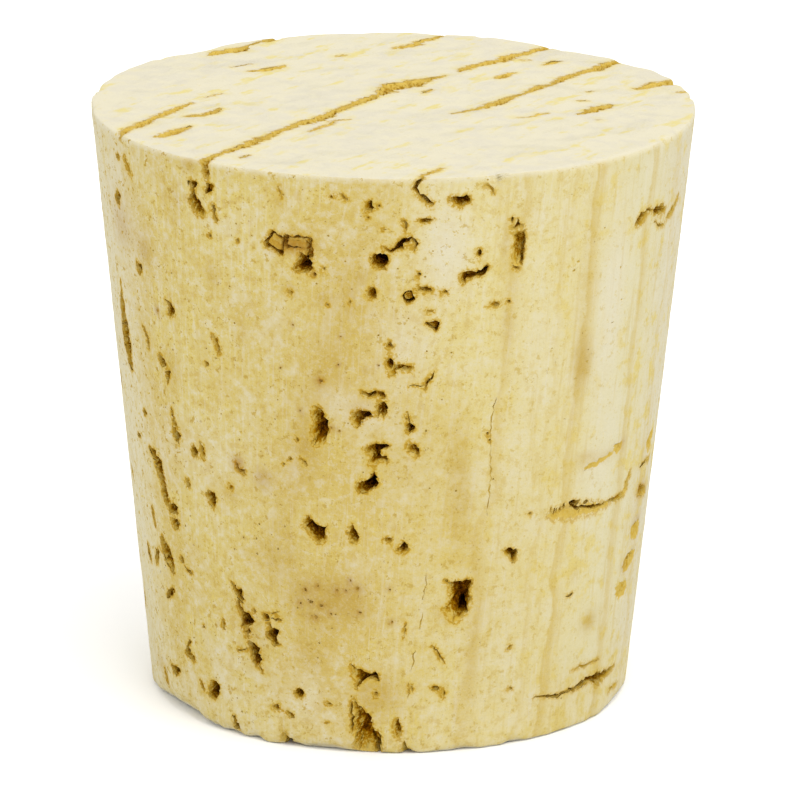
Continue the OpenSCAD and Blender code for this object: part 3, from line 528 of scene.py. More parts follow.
# Grooves of the top
TOP_GROOVES = (
    Groove(((-20, 0.9, 0.6), (-18, 1.2, 0.5), (-15.6, 1.2, 0.6), (-13.2, 1.3, 0.8), (-11.9, 1.4, 0.6),
           (-10.2, 1.5, 0.6), (-8.7, 1.6, 0.7), (-7.4, 1.6, 0.9), (-6.3, 1.4, 1), (-4.7, 1.5, 0.7),
           (-3.1, 1.7, 0.6), (-0.5, 1.8, 0.8), (1.3, 1.9, 0.7), (2.6, 2.2, 1.4), (4, 2.1, 1.7),
           (5.3, 1.8, 1.4), (6.5, 1.6, 0.6), (7.9, 1.3, 0.25)), 0.65),
    Groove(((-19, 8.8, 0.6), (-16.3, 9.2, 0.5), (-14.8, 9.5, 0.7), (-13.6, 9.5, 0.8), (-12.5, 9.7, 0.5),
           (-11.2, 9.9, 0.6), (-8.6, 10.1, 0.5), (-7.4, 10.2, 0.3)), 0.4),
    Groove(((-5.9, 10.4, 0.2), (-4.9, 10.2, 0.3), (-4.4, 10, 0.2)), 0.12),
    Groove(((-16, 7, 0.3), (-15.4, 6.8, 0.7), (-14.4, 6.8, 0.9), (-13.4, 6.7, 0.6), (-12.3, 6.8, 0.2)),
           0.55),
    Groove(((-10.6, 8.6, 0.2), (-10.3, 8.1, 0.6), (-9.5, 7.8, 0.5), (-8.6, 7.7, 0.6), (-7.5, 7.9, 0.2)),
           0.5),
    Groove(((3.3, 16.7, 0.3), (4.3, 16.6, 1.1), (5, 16.4, 1.3), (6, 16.1, 1), (7.1, 16.2, 0.4),
           (8.2, 16.2, 0.4), (9.1, 16, 0.7), (10.5, 15.8, 0.6)), 0.55),
    Groove(((1.3, 12.3, 0.2), (1.9, 11.7, 0.8), (2.6, 11.4, 0.7), (3.4, 11.2, 0.7), (4.1, 11.1, 0.3)), 0.4),
    Groove(((1.6, 13.7, 0.2), (2.3, 13.4, 0.3), (3.1, 13.1, 0.2)), 0.12),
    Groove(((7.9, 9.8, 0.3), (8.3, 9.7, 0.4), (8.7, 9.6, 0.2)), 0.12),
    Groove(((11.8, 8.1, 0.3), (12.6, 7.9, 0.6), (13.7, 7.7, 0.7), (14.9, 7.7, 0.6), (16, 7.6, 0.4),
           (17.2, 7.5, 0.2)), 0.35),
    Groove(((-9.3, -0.1, 0.2), (-8.2, 0.1, 0.3), (-6.9, 0, 0.3), (-6.1, 0.3, 0.2), (-5.1, -0.3, 0.2)), 0.12),
    Groove(((3, -0.1, 0.2), (3.6, -0.1, 0.3), (4.3, -0.1, 0.2)), 0.15),
    Groove(((9.1, 1.2, 0.2), (10.1, 1.3, 0.6), (11.6, 1.1, 0.7), (13.2, 0.7, 0.9), (14.8, 0.7, 0.8),
           (15.8, 0.4, 0.6), (17.1, 0.3, 0.7), (20, 0, 0.6)), 0.55),
    Groove(((14, -0.5, 0.4), (14.5, -0.8, 0.3)), 0.12),
    Groove(((13.8, -2.3, 0.2), (14.7, -2.3, 0.6), (15.6, -2.6, 0.2)), 0.3),
    Groove(((9, -1.7, 0.4), (9.8, -1.7, 0.7), (10.6, -1.7, 0.6), (11, -2, 0.2)), 0.3),
    Groove(((-0.4, -4.6, 0.2), (1.8, -5.2, 0.5), (3.9, -5.4, 0.9), (5.5, -5.3, 0.5), (6.9, -5.4, 0.3),
           (8.8, -5.2, 0.7), (9.7, -5.5, 0.3), (11.6, -5.2, 0.7), (12.4, -5.3, 0.6), (13.8, -5.3, 0.5),
           (14.9, -5.6, 0.9), (16.3, -5.4, 0.8), (19, -5.8, 0.5)), 0.6),
    Groove(((11.8, -10.4, 0.3), (12.7, -10.8, 0.7), (13.9, -11, 1), (15.5, -11.6, 1.3), (17, -11.8, 1.3)),
           0.6),
    Groove(((4.1, -11.1, 0.2), (5, -11.2, 0.6), (5.9, -11.3, 1), (6.8, -11.4, 0.9), (7.6, -11.4, 0.3)),
           0.7),
    Groove(((3.6, -12.8, 0.3), (3.9, -12.9, 0.2)), 0.2),
    Groove(((1.2, -8.3, 0.2), (1.6, -8.9, 0.2), (2.4, -9.1, 0.4), (2.9, -9.2, 0.5), (3.5, -9.4, 0.2)), 0.12),
    Groove(((7.1, -9.2, 0.2), (7.4, -9.4, 0.3), (7.6, -9.7, 0.2)), 0.12),
    Groove(((9.4, -8.4, 0.2), (9.9, -8.5, 0.2)), 0.12),
    Groove(((12.5, -13.2, 0.2), (13, -13.4, 0.4), (13.5, -13.4, 0.2)), 0.12),
    Groove(((-11.8, -11.7, 0.2), (-12.5, -11.7, 0.3), (-14.5, -11.7, 0.3)), 0.3),
    Groove(((-17.1, -0.3, 0.2), (-16.5, -0.3, 0.3), (-16.1, -0.3, 0.2)), 0.12),
)
# Grooves of the underside
BASE_GROOVES = (
    Groove(((-12.5, -9.3, 0.4), (-10, -9.5, 1), (-7.5, -9.2, 1), (-5, -9.5, 0.9), (-3, -9.4, 0.4)), 1,
           End.BASE),
    Groove(((-4.6, -5.6, 0.4), (-2, -5.9, 1), (1, -5.6, 1.2), (4, -5.9, 1), (7, -5.7, 1),
           (9.1, -5.8, 0.4)), 1.3, End.BASE),
    Groove(((-16.5, -2.3, 0.8), (-13, -2.5, 0.9), (-9, -2.3, 0.8), (-5.2, -2.5, 0.3)), 1, End.BASE),
    Groove(((1.8, 3.3, 0.4), (5, 3.2, 0.9), (8, 3.5, 0.9), (10.9, 3.4, 0.4)), 1.1, End.BASE),
    Groove(((-12.2, 6, 0.5), (-9, 6.4, 1.2), (-5, 6.1, 1.3), (-1, 6.3, 1), (1.2, 6.2, 0.4)), 1.3,
           End.BASE),
    Groove(((-1.2, 9.7, 0.4), (3, 9.8, 0.7), (8, 9.6, 0.7), (12.2, 9.7, 0.3)), 0.8, End.BASE),
    Groove(((-7, 11.6, 0.2), (-5.5, 11.5, 0.4), (-4, 11.6, 0.2)), 0.4, End.BASE),
    Groove(((4, 0.4, 0.2), (6, 0.2, 0.4), (7.5, 0.3, 0.2)), 0.3, End.BASE),
    Groove(((-3, -12.4, 0.3), (-1, -12.5, 0.6), (1.5, -12.3, 0.3)), 0.7, End.BASE),
)
# Stains of each kind, with those round the dark dots
STAINS = {
    Tint.BROWN: (
        Stain(-33.5, 18.5, 0.9, 1.1, 0.8), Stain(-27.5, 17.8, 1.3, 1.3, 0.6),
        Stain(-14.3, 24.7, 0.5, 0.7, 0.9), Stain(-66, 32, 3.5, 3.5, 0.35), Stain(-57, 31, 1.8, 2, 0.35),
        Stain(-6, 22.9, 1.2, 1.2, 0.3), Stain(-45.5, 35, 1.5, 2.5, 0.2), Stain(-32.5, 7.5, 2.2, 5, 0.2, 12),
        # The flat brown stain at 71.5° and 12.3 mm, along the top edge of the shallow dish at 71°, is painted
        # shade under that edge
        Stain(66.5, 9.6, 1.2, 1, 0.45), Stain(72.5, 14.3, 2.2, 1.2, 0.4), Stain(71.5, 12.3, 1.8, 0.5, 0.35),
        Stain(58.5, 18.5, 0.6, 0.9, 0.4), Stain(-19, 33.4, 2.6, 1.1, 0.9),
        *(Stain(bearing, height, DOT_SPREAD * wide, DOT_SPREAD * tall, DOT_STRENGTH)
          for bearing, height, wide, tall in DARK_DOTS),
    ),
    Tint.OCHRE: (
        Stain(50.5, 18.1, 4.4, 0.9, 0.5), Stain(70, 12.5, 2, 9, 0.25), Stain(57.5, 10, 1.2, 26, 0.15),
        Stain(40.5, 28, 0.9, 14, 0.3), Stain(19, 7, 0.9, 12, 0.3), Stain(-17, 10, 3.6, 3.6, 0.9),
        Stain(-9, 10.3, 2.8, 3, 0.8), Stain(-23, 13, 2.4, 4, 0.45), Stain(-18, 6.5, 2.4, 3, 0.5),
        Stain(-3, 4, 3, 2.7, 0.8), Stain(-27, 12.5, 2.1, 2.7, 0.2), Stain(-14, 24.5, 3, 25, 0.45, -16),
        Stain(0, 27, 7, 16, 0.2), Stain(14, 12, 13, 20, 0.25), Stain(14.5, 18, 1.6, 9, 0.5, 3),
        Stain(23.5, 31, 1.4, 12, 0.25), Stain(50, 2.6, 9, 4, 0.2), Stain(-25, 24, 4, 18, 0.2, -10),
        Stain(4, 20, 6, 7, 0.25), Stain(-17, 20.5, 1.7, 3.4, 0.6), Stain(23, 28, 0.8, 2.7, 0.3),
        Stain(42, 25, 1.5, 3.4, 0.9), Stain(-41, 37.5, 1.2, 0.9, 0.9), Stain(-21, 36.5, 0.7, 2, 0.5),
        Stain(12.5, 9.4, 1.6, 1.2, 0.5), Stain(45, 10.5, 0.7, 0.7, 0.4), Stain(22, 33.5, 0.5, 2.7, 0.6),
        Stain(-13, 30, 0.8, 0.8), Stain(-20, 30.5, 0.9, 0.7, 0.9), Stain(-6, 31.5, 0.6, 0.7, 0.6),
        Stain(-5, 25.5, 0.5, 0.5, 0.8), Stain(-8, 30, 0.8, 1.1, 0.6), Stain(-36, 16.5, 1.1, 0.9, 0.7),
        Stain(-51, 23.5, 1.4, 2.7, 0.6), Stain(45, 18.5, 1.8, 0.7, 0.6), Stain(52, 7, 1.5, 1.3, 0.8),
        Stain(-69, 2.5, 2.1, 1.3, 0.6), Stain(-37, 30.5, 1.1, 1.8, 0.5), Stain(-31, 27.5, 1, 2.7, 0.4),
        Stain(112, 24, 2.5, 5, 0.6), Stain(140, 10, 4, 4, 0.8), Stain(158, 26, 3, 5, 0.7),
        Stain(172, 8, 2, 3, 0.6), Stain(125, 34, 1.5, 3, 0.5), Stain(-100, 12, 2, 5, 0.5),
        Stain(-125, 25, 2, 6, 0.5), Stain(-150, 17, 2.5, 5, 0.5),
    ),
    Tint.PALE: (
        Stain(10.5, 33.5, 3.2, 7, 0.9), Stain(2, 27, 3, 5, 0.5), Stain(-5, 22.5, 3, 1.6, 0.6),
        Stain(-10.5, 23.3, 3, 2.2, 0.4), Stain(49, 28, 2.6, 11, 0.8), Stain(50, 17.5, 3.5, 8, 0.35),
        Stain(30, 27, 3, 9, 0.3), Stain(-45, 18.5, 9, 4, 0.3), Stain(-19, 3.5, 2.4, 3, 0.5),
    ),
}
# Worn stretches of each rim
WEAR = {
    End.TOP: (
        Wear(45, 14, 0.25), Wear(68, 10, 0.2), Wear(-41, 2.5, 0.3), Wear(36, 1.5, 0.3), Wear(-64, 1.5, 0.35),
        Wear(-85, 2, 0.3), Wear(97, 1.5, 0.5), Wear(124, 3, 0.4), Wear(171, 2, 0.4), Wear(-137, 8, 0.7),
        Wear(143, 11, 0.9), Wear(128, 3, 0.5),
    ),
    End.BASE: (
        Wear(-64, 13, 1.5), Wear(-55, 6, 0.7), Wear(-41, 3, 0.6), Wear(-33, 2, 0.7), Wear(-23.5, 3, 0.8),
        Wear(-13, 6, 0.7), Wear(5, 1.5, 0.4), Wear(18, 3, 0.3), Wear(30, 1.5, 0.4), Wear(75, 9, 0.6),
        Wear(106, 3, 0.4), Wear(154, 5, 0.7), Wear(-162, 3, 0.5), Wear(-140, 8, 0.5), Wear(-108, 4, 0.5),
    ),
}


@dataclass(frozen=True)
class Taper:
    """The cone that the cork is turned to, standing on its narrow end on the Z axis. Lengths are in mm.

    Args:
        length: Height of the stopper.
        top_r: Radius at the top, before the rim is worn.
        bottom_r: Radius at the base, before the rim is worn.
        grain_turn: Degrees from X to the way that the pores run.
    """

    length: float
    top_r: float = 19.0
    bottom_r: float = 15.2
    grain_turn: float = 56.0

    @classmethod
    def from_frame(cls) -> "Taper":
        """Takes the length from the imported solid."""
        low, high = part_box(STOPPER)
        return cls(length=(high[2] - low[2]) / MM)

    @property
    def slope(self) -> float:
        """Growth of the radius for each mm of height."""
        return (self.top_r - self.bottom_r) / self.length

    @property
    def grain(self) -> np.ndarray:
        """Level unit vector along the pores."""
        turn = math.radians(self.grain_turn)
        return np.array([math.cos(turn), math.sin(turn), 0.0])

    @property
    def across(self) -> np.ndarray:
        """Level unit vector across the pores."""
        turn = math.radians(self.grain_turn)
        return np.array([-math.sin(turn), math.cos(turn), 0.0])

    def radius(self, height: float) -> float:
        """Radius of the wall at a height."""
        return self.bottom_r + self.slope * height

    def corner(self, end: End) -> np.ndarray:
        """Radius and height of the sharp corner that the rim is rounded from."""
        return np.array([self.top_r, self.length] if end is End.TOP else [self.bottom_r, 0.0])

    def on_wall(self, bearing: float, height: float) -> tuple[np.ndarray, ...]:
        """Finds a place on the wall and its directions.

        Args:
            bearing: Degrees round from the front.
            height: Height in mm.

        Returns:
            The place, and unit vectors to the right, up the wall and outwards.
        """
        turn = math.radians(bearing)
        level = np.array([math.sin(turn), -math.cos(turn), 0.0])
        right = np.array([math.cos(turn), math.sin(turn), 0.0])
        place = level * self.radius(height) + np.array([0.0, 0.0, height])
        up = level * self.slope + np.array([0.0, 0.0, 1.0])
        up /= np.linalg.norm(up)
        return place, right, up, np.cross(right, up)


@dataclass(frozen=True)
class Rim:
    """The worn edge of one end: a rounding whose radius changes on its way round.

    Args:
        end: The end that it goes round.
        plain: Usual radius, in mm.
        seed: Seed of the ripples and the small chips.
        chips: How many small chips it has.
    """

    end: End
    plain: float
    seed: int
    chips: int = 26
    LEAST = 0.08
    RIPPLES = (3, 5, 8, 13, 21, 34, 55)
    RIPPLE_SHARE = 0.13
    CHIP_SPREAD = (0.5, 1.6)
    CHIP_SIZE = (0.08, 0.4)

    def radius(self, bearing: np.ndarray) -> np.ndarray:
        """Radius of the rounding, in mm.

        Args:
            bearing: Degrees round from the front.

        Returns:
            The radius at each bearing.
        """
        rng = np.random.default_rng(self.seed)
        radius = np.full(bearing.shape, self.plain)
        for waves in self.RIPPLES:
            phase = rng.uniform(0, math.tau)
            height = self.plain * self.RIPPLE_SHARE * rng.normal()
            radius += height * np.cos(waves * np.radians(bearing) + phase)
        wears = list(WEAR[self.end])
        for _ in range(self.chips):
            bearing_of_chip = rng.uniform(-180, 180)
            wears.append(Wear(bearing_of_chip, rng.uniform(*self.CHIP_SPREAD), rng.uniform(*self.CHIP_SIZE)))
        for wear in wears:
            away = (bearing - wear.bearing + 180) % 360 - 180
            radius += wear.extra * np.exp(-(away / wear.spread) ** 2)
        return np.maximum(radius, self.LEAST)


@dataclass(frozen=True)
class Blank:
    """The turned cone with its worn rims, as an even net of triangles that can take the carving.

    Args:
        taper: The cone.
        rims: The rim of each end.
        columns: Points in each row round the cone.
        step: Distance between rows, and between points on the ends, in mm.
    """

    taper: Taper
    rims: dict[End, Rim]
    columns: int = 286
    step: float = 0.44
    INSETS = (0.08, 0.18, 0.32, 0.5, 0.75, 1.1, 1.5)
    CLEARANCE = 0.7
    MERGE = 1e-6

    def rounded(self, end: End, on_wall: bool, inset: float, bearing: np.ndarray) -> np.ndarray:
        """Finds where the skin lies at a distance from a rim's sharp corner.

        Args:
            end: The end whose rim is near.
            on_wall: Whether the distance runs along the wall or across the end.
            inset: The distance from the corner, in mm.
            bearing: Degrees round from the front.

        Returns:
            Rows of radius and height.
        """
        corner = self.taper.corner(end)
        along_wall = self.taper.corner(End.BASE if end is End.TOP else End.TOP) - corner
        along_wall /= np.linalg.norm(along_wall)
        along_end = np.array([-1.0, 0.0])
        opening = math.acos(float(along_wall @ along_end))
        away = along_wall if on_wall else along_end
        size = self.rims[end].radius(bearing)[:, None]
        reach = size / math.tan(opening / 2)
        centre = corner + (along_wall + along_end) * size / math.sin(opening)
        turn = (math.pi - opening) / 2 * (1 - np.minimum(inset / reach, 1))
        spoke = (corner + away * reach - centre) / size
        on_arc = centre + size * (spoke * np.cos(turn) - away * np.sin(turn))
        return np.where(inset < reach, on_arc, corner + away * inset)

    def rows(self) -> np.ndarray:
        """Lays out the rows of points, from the base over the wall to the top.

        Returns:
            An array of rows, columns and places in mm, every other row turned by half a column.
        """
        wall = float(np.linalg.norm(self.taper.corner(End.TOP) - self.taper.corner(End.BASE)))
        edge = self.INSETS[-1]
        middle = np.linspace(edge, wall - edge, round((wall - 2 * edge) / self.step) + 1)[1:-1]
        stops = [(End.BASE, False, inset) for inset in reversed(self.INSETS)]
        stops += [(End.BASE, True, inset) for inset in (0.0, *self.INSETS, *middle)]
        stops += [(End.TOP, True, inset) for inset in reversed((0.0, *self.INSETS))]
        stops += [(End.TOP, False, inset) for inset in self.INSETS]
        rows = []
        for index, (end, on_wall, inset) in enumerate(stops):
            turn = (np.arange(self.columns) + 0.5 * (index % 2)) * math.tau / self.columns
            radius, height = self.rounded(end, on_wall, inset, np.degrees(turn) + 90).T
            rows.append(np.stack([radius * np.cos(turn), radius * np.sin(turn), height], 1))
        return np.array(rows)

    def weave(self, rows: int) -> Faces:
        """Joins the rows with triangles that face outwards.

        Args:
            rows: How many rows there are.

        Returns:
            The triangles, as numbers of points.
        """
        here = np.arange(self.columns)
        after = (here + 1) % self.columns
        faces = []
        for index in range(rows - 1):
            low = index * self.columns
            high = low + self.columns
            corners = (low + here, low + after, high + after, high + here)
            for chosen in ((0, 1, 2), (0, 2, 3)) if index % 2 else ((0, 1, 3), (1, 2, 3)):
                faces.append(np.stack([corners[k] for k in chosen], 1))
        return [tuple(face) for face in np.concatenate(faces).tolist()]

    def cover(self, ring: np.ndarray, first: int, spare: int, end: End) -> tuple[np.ndarray, Faces]:
        """Covers an end inside its innermost row with rows of even triangles.

        Args:
            ring: The innermost row.
            first: Number of the row's first point.
            spare: Number that the first new point gets.
            end: The end to cover.

        Returns:
            The new points, and the triangles, which face outwards.
        """
        height = float(ring[:, 2].mean())
        limit = float(np.linalg.norm(ring[:, :2], axis=1).min()) - self.CLEARANCE * self.step
        rise = self.step * math.sqrt(3) / 2
        count = round(limit / rise) + 1
        ranks, files = np.arange(-count, count + 1), np.arange(-count - 2, count + 3)
        rank, file = np.meshgrid(ranks, files, indexing="ij")
        inner = np.stack([(file + 0.5 * (rank % 2)) * self.step, rank * rise], -1).reshape(-1, 2)
        inner = inner[np.linalg.norm(inner, axis=1) < limit]
        flat = [Vector(place) for place in np.concatenate([ring[:, :2], inner]).tolist()]
        hoop = [(k, (k + 1) % self.columns) for k in range(self.columns)]
        triangles = delaunay_2d_cdt(flat, hoop, [], 1, self.MERGE)[2]
        number = list(range(first, first + self.columns)) + list(range(spare, spare + len(inner)))
        way = 1 if end is End.TOP else -1
        faces = [tuple(number[k] for k in triangle)[::way] for triangle in triangles]
        return np.column_stack([inner, np.full(len(inner), height)]), faces

    def build(self) -> bpy.types.Object:
        """Makes the blank as an object in metres."""
        rows = self.rows()
        faces = self.weave(len(rows))
        places = rows.reshape(-1, 3)
        for end, row in ((End.BASE, 0), (End.TOP, len(rows) - 1)):
            inner, cap = self.cover(rows[row], row * self.columns, len(places), end)
            places = np.concatenate([places, inner])
            faces += cap
        return solid("blank", places, faces)


def linked(name: str, data: Any) -> bpy.types.Object:
    """Makes an object of a mesh, lamp or camera and links it to the scene."""
    thing = bpy.data.objects.new(name, data)
    bpy.context.scene.collection.objects.link(thing)
    return thing


def solid(name: str, places: np.ndarray, faces: Faces) -> bpy.types.Object:
    """Makes an object from places in mm and links it to the scene.

    Args:
        name: Name of the object and its mesh.
        places: Places of the points, in mm.
        faces: Faces, as numbers of points.

    Returns:
        The object.
    """
    mesh = bpy.data.meshes.new(name)
    mesh.from_pydata((places * MM).tolist(), [], faces)
    mesh.update()
    return linked(name, mesh)


@dataclass(frozen=True)
class Cutter:
    """A closed skin that opens one pore: rings of equal count with a face over each end.

    Args:
        rings: The rings in order, in mm.
    """

    rings: np.ndarray
    GAP = 0.03

    @property
    def places(self) -> np.ndarray:
        """All points of the rings."""
        return self.rings.reshape(-1, 3)

    def faces(self, first: int) -> Faces:
        """Joins the rings with faces that point outwards.

        Args:
            first: Number of the first point.

        Returns:
            The faces, as numbers of points.
        """
        rows, count = self.rings.shape[:2]
        faces = [tuple(range(count))[::-1], tuple(range((rows - 1) * count, rows * count))]
        for low in range(0, (rows - 1) * count, count):
            for here in range(count):
                after = (here + 1) % count
                faces.append((low + here, low + after, low + count + after, low + count + here))
        around = np.roll(self.rings[0], -1, axis=0)
        turn = np.cross(self.rings[0] - self.rings[0].mean(0), around - self.rings[0].mean(0)).sum(0)
        way = 1 if turn @ (self.rings[1].mean(0) - self.rings[0].mean(0)) > 0 else -1
        return [tuple(first + k for k in face)[::way] for face in faces]

    def clear_of(self, other: "Cutter") -> bool:
        """Says whether the boxes of two cutters lie apart."""
        gap = self.GAP
        below = self.places.max(0) + gap < other.places.min(0)
        above = self.places.min(0) - gap > other.places.max(0)
        return bool(np.any(below | above))


@dataclass(frozen=True)
class Carver:
    """Shapes the cutters that open the pores. Lengths are in mm.

    Args:
        taper: The cone that they open in.
        lid: How far a cutter stands out of the skin.
        slant: Share of a pit's way in that follows the grain, the rest going straight in.
        ragged: Unevenness of a trench's edges, as a share of its width.
        wander: Unevenness of a trench's course.
        steep: Greatest depth of a trench as a share of its width.
        focus: How far off its middle a pit is deepest, as a share of its spread.
    """

    taper: Taper
    lid: float = 0.8
    slant: float = 0.55
    ragged: float = 0.22
    wander: float = 0.035
    steep: float = 1.5
    focus: float = 0.7
    SEED_SCALE = 10
    SEED_SHIFT = 5000
    SLANT_RISE = 1.6
    FOCUS_TURN = 45.0
    FOCUS_SPREAD = 40.0
    # Share of the depth, scale of the mouth and unevenness of each ring of a pit
    OPEN = ((0.03, 0.97, 0.02), (0.14, 0.86, 0.04), (0.32, 0.74, 0.06), (0.65, 0.56, 0.07), (1.0, 0.28, 0.1))
    MOAT = ((0.6, 0.97, 0.03), (1.0, 0.86, 0.06), (0.8, 0.76, 0.08))
    # Scale of the mouth and unevenness of each ring on the tissue inside a moat
    TISSUE = ((0.64, 0.05), (0.3, 0.1))
    SOFTENED_BELOW = 0.1
    # A trench's section and ends: shares of its half width and depth, lengths in mm, and steps of its path
    BRINK = 0.02
    SHOULDER = 0.72
    SHELF = (0.2, 0.45)
    BED = (0.15, 0.45)
    LEAST_DEPTH = 0.1
    DEPTH_ROUGH = 0.15
    TIP = 0.15
    TIP_STEPS = 2

    @staticmethod
    def heading(rows: np.ndarray) -> np.ndarray:
        """Unit vectors along a path, in the plane of its first two columns."""
        steps = np.gradient(rows[:, :2], axis=0)
        return steps / np.linalg.norm(steps, axis=1)[:, None]

    @classmethod
    def dice(cls, *place: float) -> np.random.Generator:
        """Source of unevenness that depends on a feature's own place alone."""
        return np.random.default_rng([round(cls.SEED_SCALE * value) + cls.SEED_SHIFT for value in place])

    def inward(self, out: np.ndarray) -> np.ndarray:
        """Way into the cork below a place on the wall, long enough to go 1 mm deep.

        Args:
            out: Unit vector outwards.

        Returns:
            The way in, slanted along the grain where the grain comes out of the wall.
        """
        facing = float(self.taper.grain @ out)
        slant = self.slant * min(1.0, self.SLANT_RISE * abs(facing))
        way = -out * (1 - slant) - self.taper.grain * math.copysign(slant, facing)
        return way / abs(float(way @ out))

    def well(self, pore: Pit | Hollow) -> Cutter:
        """Shapes the cutter of a pore that comes out of the wall end on.

        Args:
            pore: The pore.

        Returns:
            Its cutter, which narrows with depth, and leaves tissue standing inside a moat if it is plugged.
        """
        rng = self.dice(pore.bearing, pore.height)
        place, right, up, out = self.taper.on_wall(pore.bearing, pore.height)
        mouth = pore.mouth(rng)
        inward = self.inward(out)
        turn = math.radians(rng.normal(self.FOCUS_TURN, self.FOCUS_SPREAD))
        if pore.plug:
            stops = [*self.MOAT, *((1 - pore.plug, scale, rough) for scale, rough in self.TISSUE)]
            focus = np.zeros(2)
        else:
            stops = list(self.OPEN)
            focus = self.focus * np.array([math.cos(turn), math.sin(turn)]) * mouth.std(0)
        rings = [place + mouth @ np.stack([right, up]) + out * self.lid]
        for share, scale, rough in stops:
            if share > self.SOFTENED_BELOW:
                mouth = (np.roll(mouth, 1, axis=0) + 2 * mouth + np.roll(mouth, -1, axis=0)) / 4
            shrunk = focus + (mouth - focus) * scale * (1 + rough * rng.normal(size=(len(mouth), 1)))
            rings.append(place + shrunk @ np.stack([right, up]) + inward * share * pore.depth)
        return Cutter(np.array(rings))

    def trench(self, path: np.ndarray, sides: np.ndarray, ways: np.ndarray, depth: float,
               rng: np.random.Generator) -> Cutter:
        """Sweeps a ragged trench along a path.

        Args:
            path: Places along the path, with the width as a fourth column.
            sides: Unit vectors across the path.
            ways: Vectors into the cork that go 1 mm deep.
            depth: Depth of the trench.
            rng: Source of unevenness.

        Returns:
            Its cutter.
        """
        count = len(path)
        rings = []
        for index in range(count):
            width = path[index, 3]
            left, right = width / 2 * (1 + self.ragged * rng.normal(size=2))
            ends = min(1.0, (self.TIP + min(index, count - 1 - index)) / self.TIP_STEPS)
            most = min(depth, self.steep * width + self.LEAST_DEPTH)
            deep = most * ends * (1 + self.DEPTH_ROUGH * rng.normal())
            shelf = rng.uniform(*self.SHELF, 2) * deep
            bed = rng.uniform(*self.BED, 2)
            section = np.array([
                (-left, -self.lid), (right, -self.lid), (right, self.BRINK),
                (self.SHOULDER * right, shelf[0]), (bed[0] * right, deep),
                (-bed[1] * left, deep), (-self.SHOULDER * left, shelf[1]), (-left, self.BRINK)])
            rings.append(path[index, :3] + section @ np.stack([sides[index], ways[index]]))
        return Cutter(np.array(rings))

    def crack(self, crack: Crack) -> Cutter:
        """Shapes the cutter of a crack in the wall.

        Args:
            crack: The crack.

        Returns:
            Its cutter.
        """
        rng = self.dice(*crack.path[0])
        stations = np.array(crack.path)
        arc = self.taper.radius(float(stations[:, 1].mean())) * math.radians(1)
        rows = curve(stations * [arc, 1, 1], PATH_STEP)
        rows[:, :2] += self.wander * rng.normal(size=(len(rows), 2))
        path, sides, ways = [], [], []
        for (along, height, width), (onward, upward) in zip(rows, self.heading(rows)):
            place, right, up, out = self.taper.on_wall(along / arc, height)
            path.append([*place, width])
            sides.append(onward * up - upward * right)
            ways.append(self.inward(out))
        return self.trench(np.array(path), np.array(sides), np.array(ways), crack.depth, rng)

    def groove(self, groove: Groove) -> Cutter:
        """Shapes the cutter of a groove in an end face.

        Args:
            groove: The groove.

        Returns:
            Its cutter.
        """
        rng = self.dice(*groove.path[0])
        rows = curve(np.array(groove.path), PATH_STEP)
        rows[:, 1] += self.wander * rng.normal(size=len(rows))
        heading = self.heading(rows)
        axes = np.stack([self.taper.grain, self.taper.across])
        places = rows[:, :2] @ axes + [0, 0, self.taper.corner(groove.end)[1]]
        sides = np.stack([-heading[:, 1], heading[:, 0]], 1) @ axes
        ways = np.tile([0.0, 0.0, -float(groove.end.value)], (len(rows), 1))
        return self.trench(np.column_stack([places, rows[:, 2]]), sides, ways, groove.depth, rng)

    def pores(self) -> list[bpy.types.Object]:
        """Makes the cutters of all pores, as a few objects."""
        openings = [*UPPER_LEFT, *MIDDLE_LEFT, *LOWER_LEFT, *UPPER_FRONT, *MIDDLE_FRONT, *LOWER_FRONT,
                    *RIGHT_FLANK, *BACK, *FAR_LEFT]
        cutters = [self.opened(pore) for pore in openings]
        cutters += [self.groove(groove) for groove in (*TOP_GROOVES, *BASE_GROOVES)]
        return self.grouped("pores", cutters)

    def marks(self) -> list[bpy.types.Object]:
        """Makes the cutters of all dots, fine lines and shallow dishes, as a few objects."""
        cutters = [self.well(Pit(*dot, DARK_DOT_DEPTH)) for dot in DARK_DOTS]
        cutters += [self.well(Pit(*dot, PALE_DOT_DEPTH)) for dot in PALE_DOTS]
        cutters += [self.opened(mark) for mark in SHALLOW]
        return self.grouped("marks", cutters)

    def opened(self, pore: Pit | Hollow | Crack) -> Cutter:
        """Shapes the cutter of anything that opens in the wall."""
        return self.crack(pore) if isinstance(pore, Crack) else self.well(pore)

    @staticmethod
    def grouped(name: str, cutters: list[Cutter]) -> list[bpy.types.Object]:
        """Puts cutters into a few objects in each of which no two cutters meet.

        Args:
            name: Start of the objects' names.
            cutters: The cutters.

        Returns:
            The objects.
        """
        groups: list[list[Cutter]] = []
        for cutter in cutters:
            home = next((group for group in groups if all(cutter.clear_of(other) for other in group)), None)
            if home is None:
                groups.append([cutter])
            else:
                home.append(cutter)
        LOG.info("%d cutters of %s in %d sets", len(cutters), name, len(groups))
        pieces = []
        for index, group in enumerate(groups):
            faces: Faces = []
            first = 0
            for cutter in group:
                faces += cutter.faces(first)
                first += len(cutter.places)
            places = np.concatenate([cutter.places for cutter in group])
            pieces.append(solid(f"{name}_{index}", places, faces))
        return pieces


